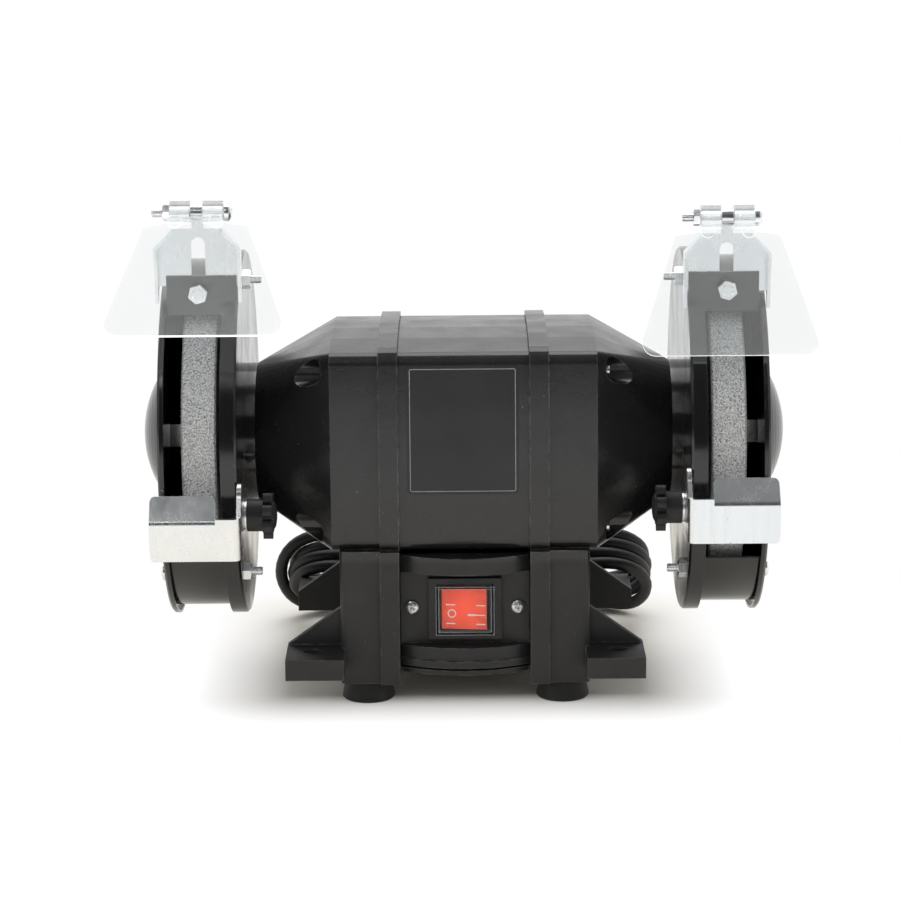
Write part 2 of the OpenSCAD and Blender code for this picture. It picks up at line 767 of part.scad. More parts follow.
module stator_core() {
  bore = rotor_d / 2 + air_gap;
  slots = 24;
  color(steel) difference() {
    bar_x(-stack_w / 2, stack_w / 2, stator_d, z = shaft_h);
    bar_x(-stack_w / 2 - 1, stack_w / 2 + 1, 2 * bore, z = shaft_h);
    for (i = [0:slots - 1]) {
      translate([0, 0, shaft_h]) rotate([i * 360 / slots, 0, 0])
        block([-stack_w / 2 - 1, -1.6, bore - 1], [stack_w / 2 + 1, 1.6, bore + 9]);
    }
  }
}

// End turns of the windings, one bundle at each end of the stator
module stator_windings() {
  mean_r = rotor_d / 2 + 7;
  color("#a8592a") for (s = [LEFT, RIGHT]) {
    on_side(s) translate([stack_w / 2 + 7, 0, shaft_h]) rotate([0, 90, 0]) rotate_extrude()
      translate([mean_r, 0]) union() {
        square([9, 8], center = true);
        circle(5.6);
        translate([0, -5]) square([7, 4], center = true);
      }
  }
}

module capacitor() {
  d = 30;
  color("#d8d5cc") translate([-28, 14, base_z + base_t + d / 2]) {
    bar_x(0, 56, d);
    bar_x(56, 58, d - 6);
    block([24, -d / 2 - 1, -d / 2], [32, d / 2 + 1, -d / 2 + 8]);
  }
}

ball_r = 3;
ball_pitch_r = (bearing_bore_d + bearing_d) / 4;
race_r = ball_r + free_gap;

module ring_profile(r0, r1) {
  difference() {
    translate([r0, 0]) square([r1 - r0, bearing_w]);
    translate([ball_pitch_r, bearing_w / 2]) circle(race_r);
  }
}

module bearing_outer_rings() {
  color(steel) for (s = [LEFT, RIGHT]) {
    on_side(s) translate([bearing_x + 0.1, 0, shaft_h]) rotate([0, 90, 0])
      rotate_extrude() ring_profile(ball_pitch_r + 2, bearing_d / 2 - 0.01);
  }
}

module bearing_inner_rings() {
  color(steel) for (s = [LEFT, RIGHT]) {
    on_side(s) translate([bearing_x + 0.1, 0, shaft_h]) rotate([0, 90, 0])
      rotate_extrude() ring_profile(bearing_bore_d / 2 + 0.01, ball_pitch_r - 2);
  }
}

module bearing_balls() {
  balls = 8;
  color(zinc) for (s = [LEFT, RIGHT]) {
    for (i = [0:balls - 1]) {
      on_side(s) translate([bearing_x + 0.1 + bearing_w / 2, 0, shaft_h]) rotate([i * 360 / balls, 0, 0])
        translate([0, 0, ball_pitch_r]) sphere(ball_r);
    }
  }
}

// One shaft for the rotor and both wheels, stepped down at each end
module rotor_shaft() {
  core_r = 11;
  color(steel) on_shaft() polygon([
    [0, -shaft_end_x], [spindle_d / 2 - 1, -shaft_end_x], [spindle_d / 2, -shaft_end_x + 1],
    [spindle_d / 2, -shoulder_x], [bearing_bore_d / 2, -shoulder_x],
    [bearing_bore_d / 2, -bearing_x], [core_r, -bearing_x + 0.1], [core_r, bearing_x - 0.1],
    [bearing_bore_d / 2, bearing_x], [bearing_bore_d / 2, shoulder_x],
    [spindle_d / 2, shoulder_x], [spindle_d / 2, shaft_end_x - 1],
    [spindle_d / 2 - 1, shaft_end_x], [0, shaft_end_x]
  ]);
}

// Rotor stack with its cast end rings
module rotor_core() {
  ring_r = rotor_d / 2 - 3;
  in_r = 11 + slip;
  end_x = stack_w / 2 + 8;
  color(steel) on_shaft() polygon([
    [in_r, -end_x], [ring_r, -end_x], [ring_r, -stack_w / 2], [rotor_d / 2, -stack_w / 2],
    [rotor_d / 2, stack_w / 2], [ring_r, stack_w / 2], [ring_r, end_x], [in_r, end_x]
  ]);
}

// --- Wheels --------------------------------------------------------------

module wheel(s) {
  chamfer = 0.8;
  color(s == LEFT ? "#7f8488" : "#8b9094") on_side(s) on_shaft() polygon([
    [spindle_d / 2 + slip, wheel_in], [wheel_d / 2 - chamfer, wheel_in], [wheel_d / 2, wheel_in + chamfer],
    [wheel_d / 2, wheel_out - chamfer], [wheel_d / 2 - chamfer, wheel_out], [spindle_d / 2 + slip, wheel_out]
  ]);
}

module disc_ring(x0, x1, r_in, r_out) {
  on_shaft() translate([r_in, x0]) square([r_out - r_in, x1 - x0]);
}

module wheel_blotters() {
  color("#c9b48a") for (s = [LEFT, RIGHT]) {
    on_side(s) {
      disc_ring(wheel_in - blotter_t, wheel_in, spindle_d / 2 + slip, flange_d / 2 + 2);
      disc_ring(wheel_out, wheel_out + blotter_t, spindle_d / 2 + slip, flange_d / 2 + 2);
    }
  }
}

// A pressed flange: it bears on the wheel with its rim and on the shaft with its hub
module clamp_flange(face_x, dir) {
  hub_r = 11;
  rim = 6;
  r = flange_d / 2;
  t = flange_t;
  on_shaft() polygon([
    [spindle_d / 2 + slip, face_x + dir * 0.8], [r - rim, face_x + dir * 0.8], [r - rim, face_x],
    [r, face_x], [r, face_x + dir * t * 0.6], [r - rim, face_x + dir * t],
    [hub_r, face_x + dir * t], [spindle_d / 2 + slip, face_x + dir * t]
  ]);
}

module inner_flanges() {
  color(steel) for (s = [LEFT, RIGHT]) {
    on_side(s) clamp_flange(wheel_in - blotter_t, -1);
  }
}

module outer_flanges() {
  color(steel) for (s = [LEFT, RIGHT]) {
    on_side(s) clamp_flange(wheel_out + blotter_t, 1);
  }
}

module spindle_nuts() {
  x0 = wheel_out + blotter_t + flange_t;
  color(zinc) for (s = [LEFT, RIGHT]) {
    on_side(s) difference() {
      hex_x(x0, x0 + spindle_nut_h, spindle_nut_af, z = shaft_h);
      bar_x(x0 - 1, x0 + spindle_nut_h + 1, spindle_d + 2 * slip, z = shaft_h);
    }
  }
}

// --- Guards --------------------------------------------------------------

// Places its children at each of a guard's three long screws
module at_guard_screws(s) {
  for (a = guard_screw_angles) {
    on_side(s) translate([0, -screw_circle_r * sin(a), shaft_h + screw_circle_r * cos(a)]) children();
  }
}

// Places its children on the axis of a tool rest's knob bolt
module at_knob(s) {
  on_side(s) translate([0, -knob_y, shaft_h - knob_z(s)]) children();
}

// Inner half of a guard: a wall with a dished seat and a turned rim, the drum and its upturned flange
module guard(s) {
  seat_hole_r = 14;
  dish_r = neck_d / 2;
  color(gloss_black) difference() {
    on_side(s) union() {
      on_shaft() polygon([
        [seat_hole_r, seat_x], [dish_r, seat_x], [dish_r, guard_x], [guard_r - 1, guard_x],
        [guard_r, guard_x + 1], [guard_r, guard_x + guard_rim_w], [guard_r - sheet_t, guard_x + guard_rim_w],
        [guard_r - sheet_t, guard_x + guard_wall], [dish_r - guard_wall, guard_x + guard_wall],
        [dish_r - guard_wall, seat_x + guard_wall], [seat_hole_r, seat_x + guard_wall]
      ]);
      on_shaft(180 + mouth_low_a + mouth_top_a - flange_lap_a, -mouth_low_a)
        translate([drum_r - sheet_t, guard_x + 0.5]) square([sheet_t, drum_out_x - guard_x - 0.5]);
      difference() {
        block([guard_x + 0.5, -flange_y, shaft_h + flange_z - 1.2],
              [cover_x - cover_rim_w - joint_gap, -flange_y + sheet_t, shaft_h + flange_z + flange_h]);
        translate([wheel_x, -flange_y - 1, shaft_h + flange_bolt_z]) rotate([-90, 0, 0])
          cylinder(d = flange_bolt_d + 2 * bolt_gap, h = sheet_t + 2);
      }
    }
    at_guard_screws(s) bar_x(guard_x - 1, guard_x + guard_wall + 1, guard_screw_d + 2 * bolt_gap);
    at_knob(s) bar_x(guard_x - 1, guard_x + guard_wall + 1, knob_bolt_d + 2 * slip);
    on_side(s) for (a = seat_screw_angles) {
      bar_x(seat_x - 1, seat_x + guard_wall + 1, seat_screw_d + 2 * bolt_gap,
            seat_screw_r * sin(a), shaft_h + seat_screw_r * cos(a));
    }
  }
}

// Outer half of a guard: a pressed cover with a dome over the spindle nut and a turned rim
module cover(s) {
  ball_out = (pow(dome_r, 2) + pow(dome_h, 2)) / (2 * dome_h);
  ball_in = ball_out - sheet_t;
  mid_x = cover_x + dome_h - ball_out;
  out_a = asin(dome_r / ball_out);
  in_a = acos((cover_x - sheet_t - mid_x) / ball_in);
  steps = 10;
  rim_x = cover_x - cover_rim_w;
  color(gloss_black) difference() {
    on_side(s) on_shaft() polygon(concat(
      [for (i = [0:steps]) [ball_out * sin(out_a * i / steps), mid_x + ball_out * cos(out_a * i / steps)]],
      [[guard_r - 1, cover_x], [guard_r, cover_x - 1], [guard_r, rim_x], [guard_r - sheet_t, rim_x],
       [guard_r - sheet_t, cover_x - sheet_t]],
      [for (i = [steps:-1:0]) [ball_in * sin(in_a * i / steps), mid_x + ball_in * cos(in_a * i / steps)]]
    ));
    at_guard_screws(s) bar_x(cover_x - sheet_t - 1, cover_x + 1, guard_screw_d + 2 * bolt_gap);
  }
}

flange_lap_a = 0.7;   // the drum's upper end stops short, within the flange's thickness
guard_screw_end_x = guard_x - 9;
guard_nut_w = 4;

module guard_screws() {
  color(zinc) for (s = [LEFT, RIGHT]) {
    at_guard_screws(s) translate([cover_x, 0, 0]) rotate([0, 90, 0])
      screw(guard_screw_d, 8.4, 2.6, cover_x - guard_screw_end_x);
  }
}

module guard_nuts() {
  color(zinc) for (s = [LEFT, RIGHT]) {
    at_guard_screws(s) difference() {
      hex_x(guard_x - guard_nut_w, guard_x, 8);
      bar_x(guard_x - guard_nut_w - 1, guard_x + 1, guard_screw_d + 2 * slip);
    }
  }
}

module guard_seat_screws() {
  color(zinc) for (s = [LEFT, RIGHT]) {
    for (a = seat_screw_angles) {
      on_side(s) translate([seat_x + guard_wall, seat_screw_r * sin(a), shaft_h + seat_screw_r * cos(a)])
        rotate([0, 90, 0]) screw(seat_screw_d, 7.4, 2.4, guard_wall + seat_screw_l);
    }
  }
}

flange_bolt_d = 5;
flange_bolt_af = 8;
flange_head_h = 3.5;
flange_nut_h = 3;
flange_washer_t = 1;
web_back_y = web_y - bracket_t;

// Bolt that clamps a bracket to its guard, its head in front of the flange
module flange_bolts() {
  color(zinc) for (s = [LEFT, RIGHT]) {
    on_side(s) translate([wheel_x, 0, shaft_h + flange_bolt_z]) rotate([90, 0, 0]) {
      translate([0, 0, flange_y + flange_bolt_out]) rotate(30)
        cylinder(d = flange_bolt_af / cos(30), h = flange_head_h, $fn = 6);
      translate([0, 0, web_back_y - 5.2]) cylinder(d = flange_bolt_d, h = flange_y - web_back_y + 6 + flange_bolt_out);
    }
  }
}

module flange_nuts() {
  color(zinc) for (s = [LEFT, RIGHT]) {
    on_side(s) translate([wheel_x, 0, shaft_h + flange_bolt_z]) rotate([90, 0, 0]) {
      difference() {
        union() {
          translate([0, 0, web_back_y - joint_gap - flange_washer_t]) cylinder(d = 9, h = flange_washer_t);
          translate([0, 0, web_back_y - joint_gap - flange_washer_t - flange_nut_h + 0.2]) rotate(30)
            cylinder(d = flange_bolt_af / cos(30), h = flange_nut_h, $fn = 6);
        }
        translate([0, 0, web_back_y - 8]) cylinder(d = flange_bolt_d + 2 * slip, h = 9);
      }
    }
  }
}

// --- Brackets and eye shields ----------------------------------------------

// Draws its children with Z = 0 at the lower end of a bracket's web
module at_bracket(s) {
  on_side(s) translate([wheel_x, 0, shaft_h + bracket_z - drop(s)]) children();
}

module bracket(s) {
  half_in = bracket_in_w / 2;
  half_out = half_in + bracket_t;
  corner = 8;
  tip = 2;
  tab_d = 9;
  slot_top = bracket_h - 4;
  cover_notch = 4;
  guard_notch = half_in - wheel_in_guard + guard_rim_w + 0.5;
  notch_h = bracket_drop + 1.2;
  ear_r = hinge_d / 2 + bracket_t + 0.4;
  slant = bracket_t * cos(45);
  inner_corner_z = bracket_h - corner - bracket_t * tan(22.5);
  color(zinc) at_bracket(s) {
    translate([0, -web_back_y, 0]) rotate([90, 0, 0]) linear_extrude(bracket_t) difference() {
      polygon([
        [-half_out, notch_h], [-half_in + guard_notch, notch_h], [-half_in + guard_notch, 0],
        [half_in - cover_notch, 0], [half_in - cover_notch, notch_h], [half_out, notch_h],
        [half_out, bracket_h - corner], [half_out - corner, bracket_h],
        [-half_out + corner, bracket_h], [-half_out, bracket_h - corner]
      ]);
      translate([-slot_w / 2, -1]) square([slot_w, slot_top - slot_w / 2 + 1]);
      translate([0, slot_top - slot_w / 2]) circle(d = slot_w);
    }
    // Turned edges, from the tips up the sides and over the cut corners
    intersection() {
      translate([0, -web_back_y, 0]) rotate([90, 0, 0]) linear_extrude(bracket_t + tab_d) {
        for (sx = [LEFT, RIGHT]) {
          mirror([sx == LEFT ? 1 : 0, 0]) polygon([
            [half_in, -tip], [half_out, -tip], [half_out, bracket_h - corner], [half_out - corner, bracket_h],
            [half_out - corner - slant, bracket_h - slant], [half_in, inner_corner_z]
          ]);
        }
      }
      translate([-half_out - 1, 0, 0]) rotate([90, 0, 90]) linear_extrude(2 * half_out + 2) polygon([
        [-web_back_y, notch_h], [-web_back_y, bracket_h + 1], [-web_y - 5.5, bracket_h + 1],
        [-web_y - tab_d, bracket_h - corner - 2], [-web_y - 5, 8], [-web_y - 4.2, -tip],
        [-web_y - 2.6, -tip], [-web_y - 1, notch_h - 1.5]
      ]);
    }
    difference() {
      union() {
        block([-ear_w / 2, -web_y, bracket_h - 1], [ear_w / 2, -web_back_y, bracket_h + hinge_rise]);
        bar_x(-ear_w / 2, ear_w / 2, 2 * ear_r, -hinge_y, bracket_h + hinge_rise);
      }
      bar_x(-ear_w, ear_w, hinge_d + 2 * slip, -hinge_y, bracket_h + hinge_rise);
    }
  }
}

knuckle_end = ear_w / 2 + free_gap + knuckle_w;

// Draws its children at the hinge of a shield, the axes being the machine's own
module at_hinge(s) {
  translate([s * wheel_x, -hinge_y, shaft_h + hinge_z - drop(s)]) children();
}

// Long bolt of a shield's hinge with its nut; both bolts point the same way
module hinge_bolt(s) {
  color(zinc) at_hinge(s) {
    bar_x(-knuckle_end - 8.4, knuckle_end + 0.6, hinge_d);
    hex_x(-knuckle_end - 3.4, -knuckle_end - 0.2, 7);
    translate([knuckle_end + 0.2, 0, 0]) rotate([0, 90, 0]) rotate_extrude() polygon([
      [0, 0], [4, 0], [4, 1.6], [3.2, 3], [1.8, 3.8], [0, 4]
    ]);
  }
}

// Clear shield: two knuckles, a neck and a plate that widens towards its lower edge
module eye_shield(s) {
  crease = 9;
  plate_y = knuckle_d / 2 - shield_t;
  half = shield_w / 2;
  half_top = shield_top_w / 2;
  round_r = 6;
  ear_room = knuckle_d / 2 + 0.5;
  boss_x = knuckle_end - 2.8;
  boss_z = -7.6;
  boss_r = 3.2;
  boss_h = 1.2;
  color([0.85, 0.92, 0.95, 0.35]) at_hinge(s) rotate([-shield_a(s), 0, 0]) difference() {
    union() {
      for (sx = [LEFT, RIGHT]) {
        on_side(sx) {
          bar_x(ear_w / 2 + free_gap, knuckle_end, knuckle_d);
          translate([boss_x, -plate_y - shield_t + 0.5, boss_z]) rotate([90, 0, 0])
            cylinder(r = boss_r, h = boss_h + 0.5);
        }
      }
      translate([0, -plate_y, 0]) rotate([90, 0, 0]) linear_extrude(shield_t) polygon(concat(
        [[-knuckle_end, 0], [-ear_w / 2 - free_gap, 0], [-ear_w / 2 - free_gap, -ear_room],
         [ear_w / 2 + free_gap, -ear_room], [ear_w / 2 + free_gap, 0], [knuckle_end, 0],
         [knuckle_end, -crease + 1.5], [half_top, -crease - 0.5]],
        arc_points([half - round_r, -shield_l + round_r], round_r, 15, -90, 5),
        arc_points([-half + round_r, -shield_l + round_r], round_r, 270, 165, 5),
        [[-half_top, -crease - 0.5], [-knuckle_end, -crease + 1.5]]
      ));
    }
    bar_x(-knuckle_end - 1, knuckle_end + 1, hinge_d + 2 * slip);
  }
}

// --- Tool rests and knobs ----------------------------------------------------

arm_end_r = 9;
guide_l = 9.4;
rest_slot_w = knob_bolt_d + 1.6;
guide_w = rest_slot_w - 2 * joint_gap;
knob_bolt_end_x = knob_x - shank_l - 2;

module rest_bolt(s) {
  color(zinc) at_knob(s) {
    bar_x(knob_bolt_end_x, guard_x + guard_wall + 0.5, knob_bolt_d);
    translate([guard_x + guard_wall, 0, 0]) rotate([0, 90, 0]) rotate_extrude() polygon([
      [0, 0], [6, 0], [6, 0.8], [4.6, 2], [2.4, 2.7], [0, 2.9]
    ]);
  }
}

// Washer under the knob, with a key that guides the arm's slot
module rest_washer(s) {
  color(zinc) at_knob(s) rotate([tip_a(s), 0, 0]) difference() {
    union() {
      bar_x(arm_out_x - joint_gap - washer_t, arm_out_x - joint_gap, rest_washer_d);
      translate([arm_out_x - joint_gap - 0.1, 0, 0]) rotate([90, 0, 90])
        linear_extrude(arm_x - arm_out_x - 0.1) union() {
          square([guide_l - guide_w, guide_w], center = true);
          for (e = [-1, 1]) {
            translate([e * (guide_l - guide_w) / 2, 0]) circle(d = guide_w);
          }
        }
    }
    bar_x(knob_x, arm_x + 1, knob_bolt_d + 2 * slip);
  }
}

// Point where a line from p touches a circle about c, on its upper side
function tangent_point(p, c, r) =
  let (d = norm(c - p), a = atan2(c[1] - p[1], c[0] - p[0]) - asin(r / d))
  p + sqrt(d * d - r * r) * [cos(a), sin(a)];

// Outline of a rest's arm beside the guard, with its slot and its upper lobe
module arm_outline() {
  low = rest_rise - rest_h;
  front = -rest_front + bend_r;
  slot_mid = rest_slot_l / 2 - guide_l / 2 - 0.3;
  slot_half = (rest_slot_l - rest_slot_w) / 2;
  arm_back = slot_mid + slot_half;
  lobe_r = 5;
  lobe = [-rest_front + 14, arm_rise - lobe_r];
  difference() {
    union() {
      polygon([
        [front, low], [-rest_front + 12, low], [arm_back, -arm_end_r], [arm_back, arm_end_r],
        tangent_point([arm_back, arm_end_r], lobe, lobe_r), lobe, lobe - [lobe_r, 0], [front, rest_rise]
      ]);
      translate([arm_back, 0]) circle(arm_end_r);
      translate(lobe) circle(lobe_r);
    }
    translate([slot_mid - slot_half, -rest_slot_w / 2]) square([2 * slot_half, rest_slot_w]);
    for (e = [-1, 1]) {
      translate([slot_mid + e * slot_half, 0]) circle(d = rest_slot_w);
    }
  }
}

// Cross-section of the front plate and its lip, as one bent strip
module lip_profile() {
  low = rest_rise - rest_h;
  turn = 90 - lip_a;
  along = [cos(lip_a), sin(lip_a)];
  across = [-sin(lip_a), cos(lip_a)];
  centre = [-rest_front + bend_r, fold_z];
  end = [-rest_front + rest_t, rest_rise] + lip_l * along;
  polygon(concat(
    [[-rest_front, low]], arc_points(centre, bend_r, 180, 180 - turn, 6),
    [end, end - rest_t * across], arc_points(centre, bend_r - rest_t, 180 - turn, 180, 6),
    [[-rest_front + rest_t, low]]
  ));
}

// Front view of the lip and the plate below it, with rounded corners
module lip_outline(x0, x1) {
  low = rest_rise - rest_h;
  top = rest_rise + lip_l * sin(lip_a);
  translate([x0, low]) square([x1 - x0 - corner_r, top - low - corner_r]);
  translate([x0 + corner_r, top - corner_r - 1]) square([x1 - x0 - 2 * corner_r, corner_r + 1]);
  translate([x1 - corner_r - 1, low + corner_r]) square([corner_r + 1, top - low - 2 * corner_r]);
  translate([x0 + corner_r, top - corner_r]) circle(corner_r);
  translate([x1 - corner_r, top - corner_r]) circle(corner_r);
  translate([x1 - corner_r, low + corner_r]) circle(corner_r);
}

// Bent-sheet rest: a slotted arm beside the guard, a front plate and a lip towards the wheel
module tool_rest(s) {
  low = rest_rise - rest_h;
  bend_x = arm_out_x + bend_r;
  lip_x = arm_out_x + rest_w - lip_w;
  color(zinc) at_knob(s) rotate([tip_a(s), 0, 0]) {
    translate([arm_out_x, 0, 0]) rotate([90, 0, 90]) linear_extrude(rest_t) arm_outline();
    translate([bend_x, -rest_front + bend_r, low]) rotate([0, 0, 180]) rotate_extrude(angle = 90)
      translate([bend_r - rest_t, 0]) square([rest_t, rest_h]);
    block([bend_x, -rest_front, low], [lip_x, -rest_front + rest_t, rest_rise]);
    intersection() {
      translate([lip_x, 0, 0]) rotate([90, 0, 90]) linear_extrude(lip_w) lip_profile();
      rotate([90, 0, 0]) linear_extrude(rest_front + 1) lip_outline(lip_x, lip_x + lip_w);
    }
  }
}

// Knob with a round shank, a lobed grip and a shallow domed end
module knob(s) {
  grip_x = knob_x - shank_l;
  lobe_r = grip_d * 0.13;
  color(rubber_black) at_knob(s) difference() {
    union() {
      bar_x(grip_x - 0.1, knob_x, shank_d);
      translate([grip_x - grip_w, 0, 0]) rotate([90, 0, 90]) linear_extrude(grip_w) union() {
        circle(d = grip_d - 3 * lobe_r);
        for (i = [0:lobes - 1]) {
          rotate(i * 360 / lobes) translate([grip_d / 2 - lobe_r, 0]) circle(lobe_r);
          rotate(i * 360 / lobes) translate([0, -lobe_r * 0.8]) square([grip_d / 2 - lobe_r, lobe_r * 1.6]);
        }
      }
      translate([grip_x - grip_w, 0, 0]) rotate([0, -90, 0]) rotate_extrude() polygon([
        [0, -0.5], [6.5, -0.5], [6.5, 0.6], [5, 1.4], [2.5, 1.8], [0, 1.9]
      ]);
    }
    bar_x(knob_bolt_end_x - 0.5, knob_x + 1, knob_bolt_d + 2 * slip);
  }
}

// --- Mains lead --------------------------------------------------------------

relief_end_y = floor_y + relief_l;

// Strain relief: a collar inside the panel, a neck in its hole and a taper outside
module cord_gland() {
  color(rubber_black) translate([0, 0, gland_z]) rotate([-90, 0, 0]) rotate_extrude() polygon([
    [0, floor_y - panel_t - 3], [6.5, floor_y - panel_t - 3], [6.5, floor_y - panel_t],
    [gland_neck_r, floor_y - panel_t], [gland_neck_r, floor_y], [relief_d / 2, floor_y],
    [relief_d / 2, floor_y + 3], [cord_d / 2 + 1, relief_end_y], [0, relief_end_y]
  ]);
}

// Route of the lead from the strain relief over the hank and down behind it
lead_route = [
  [0, 75.5, 52], [0, 82, 52], [-1.5, 88.5, 52.8], [-4, 94.6, 51], [-7, 100, 46.8], [-11, 105.5, 40.6],
  [-16, 110.5, 32.5], [-22, 115, 25], [-29, 119, 18], [-37, 121.5, 11.5], [-46, 122, 6.5],
  [-55, 121, 4], [-64, 118, 3.4], [-72, 114, 3.4], [-78, 110, 3.8], [-84, 104, 6]
];

// Route of the lead from the hank's other end to the plug
plug_route = [
  [84, 104, 6], [78, 110, 3.8], [72, 114.5, 3.4], [64, 120, 3.8], [57, 125, 5.5], [50, 129.5, 8.6],
  [43, 133.2, 12.4], [36, 136, 15.8], [29, 137, 18]
];

// A tube swept along a route: each ring is turned as little as possible from the one before
function unit(v) = v / norm(v);
function tangent(p, i) = unit(p[min(i + 1, len(p) - 1)] - p[max(i - 1, 0)]);
function carry(n, t) = unit(n - (n * t) * t);
function frames(p, i, n) =
  let (t = i == 0 ? unit(p[1] - p[0]) : i == len(p) - 1 ? unit(p[i] - p[i - 1]) : tangent(p, i))
  let (m = carry(n, t))
  i == len(p) - 1 ? [[t, m]] : concat([[t, m]], frames(p, i + 1, m));

module tube(route, d, start_n) {
  sides = 10;
  f = frames(route, 0, start_n);
  rings = [for (i = [0:len(route) - 1]) for (k = [0:sides - 1])
    route[i] + d / 2 * (f[i][1] * cos(k * 360 / sides) + cross(f[i][0], f[i][1]) * sin(k * 360 / sides))];
  walls = [for (i = [0:len(route) - 2]) for (k = [0:sides - 1])
    let (a = i * sides + k, b = i * sides + (k + 1) % sides)
    each [[a, a + sides, b], [b, a + sides, b + sides]]];
  last = (len(route) - 1) * sides;
  caps = [[for (k = [0:sides - 1]) k], [for (k = [sides - 1:-1:0]) last + k]];
  polyhedron(rings, concat(walls, caps));
}

module power_cord() {
  color(rubber_black) {
    tube(lead_route, cord_d, [0, 0, 1]);
    tube(plug_route, cord_d, [0, 0, 1]);
  }
}

hank_clear = 0.4;
tie_w = 5;
tie_t = 0.8;
hank_foot_z = tie_t * (sin(hank_a) + cos(hank_a)) + 0.1;
hank_foot_y = pad_y + (pad_z + pad_t - hank_foot_z) / tan(hank_a) + hank_clear / sin(hank_a);

// Draws its children in the middle of the hank, with Y across it and Z through it
module at_hank() {
  translate([0, hank_foot_y, hank_foot_z]) rotate([180 - hank_a, 0, 0])
    translate([0, hank_w / 2, -hank_t / 2]) children();
}

module hank_outline(w, l) {
  square([l - w, w], center = true);
  for (s = [LEFT, RIGHT]) {
    translate([s * (l - w) / 2, 0]) circle(d = w);
  }
}

// The folded lead, tied in its middle and leaning on the rear pads
module cord_hank() {
  color(rubber_black) at_hank() translate([0, 0, -hank_t / 2]) linear_extrude(hank_t)
    hank_outline(hank_w, hank_l);
}

// Twist tie round the middle of the hank
module cord_tie() {
  color("#222224") at_hank() difference() {
    cube([tie_w, hank_w + 2 * tie_t, hank_t + 2 * tie_t], center = true);
    cube([tie_w + 1, hank_w + 0.04, hank_t + 0.04], center = true);
  }
}

plug_x = 28;
plug_y = 137;
plug_z = 18;

// Round two-pin earthed plug lying on its side
module mains_plug() {
  body_r = 17.8;
  color(rubber_black) translate([plug_x, plug_y, plug_z]) rotate([0, -90, 0]) {
    rotate_extrude() polygon([
      [0, 0], [cord_d / 2 + 1, 0], [6.5, 14], [9, 16], [12, 24], [body_r - 1, 30],
      [body_r, 32], [body_r, 47], [body_r - 1.4, 48], [0, 48]
    ]);
  }
  color(zinc) for (sy = [-1, 1]) {
    translate([plug_x - 47.5, plug_y + sy * 9.5, plug_z]) rotate([0, -90, 0]) cylinder(d = 4.8, h = 19.5);
  }
}

// --- Assembly ----------------------------------------------------------------

// Everything above is drawn about the shaft's own plane; this puts the origin under the middle
module placed() {
  translate([0, shaft_y, 0]) children();
}

placed() housing(LEFT);  // left_housing
placed() housing(RIGHT);  // right_housing
placed() motor_shell();
placed() switch_panel();
placed() rear_panel();
placed() base_plate();
placed() rubber_feet();
placed() foot_screws();
placed() tie_bolts();
placed() tie_nuts();
placed() stator_core();
placed() stator_windings();
placed() capacitor();
placed() bearing_outer_rings();
placed() switch_frame();
placed() rocker();
placed() splash_cover();
placed() panel_screws();
placed() rotor_shaft();
placed() rotor_core();
placed() bearing_inner_rings();
placed() bearing_balls();
placed() wheel(LEFT);  // left_wheel
placed() wheel(RIGHT);  // right_wheel
placed() wheel_blotters();
placed() inner_flanges();
placed() outer_flanges();
placed() spindle_nuts();
placed() guard(LEFT);  // left_guard
placed() guard(RIGHT);  // right_guard
placed() cover(LEFT);  // left_cover
placed() cover(RIGHT);  // right_cover
placed() guard_screws();
placed() guard_nuts();
placed() guard_seat_screws();
placed() flange_bolts();
placed() flange_nuts();
placed() bracket(LEFT);  // left_bracket
placed() bracket(RIGHT);  // right_bracket
placed() hinge_bolt(LEFT);  // left_hinge_bolt
placed() hinge_bolt(RIGHT);  // right_hinge_bolt
placed() eye_shield(LEFT);  // left_eye_shield
placed() eye_shield(RIGHT);  // right_eye_shield
placed() rest_bolt(LEFT);  // left_rest_bolt
placed() rest_bolt(RIGHT);  // right_rest_bolt
placed() rest_washer(LEFT);  // left_rest_washer
placed() rest_washer(RIGHT);  // right_rest_washer
placed() tool_rest(LEFT);  // left_tool_rest
placed() tool_rest(RIGHT);  // right_tool_rest
placed() knob(LEFT);  // left_knob
placed() knob(RIGHT);  // right_knob
placed() cord_gland();
placed() power_cord();
placed() cord_hank();
placed() cord_tie();
placed() mains_plug();
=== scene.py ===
# %% [markdown]
# # A bench grinder, dressed around its CAD model
# The CAD model fixes every size and place. This script adds what CAD leaves plain: paint, plating,
# clear plastic, abrasive grain, screw recesses, threads and the folded mains lead.
# All lengths here are in metres, with +X along the shaft, -Y to the front and Z = 0 on the bench.

import json
import math

import bmesh
import bpy
import numpy as np
from mathutils import Matrix, Vector


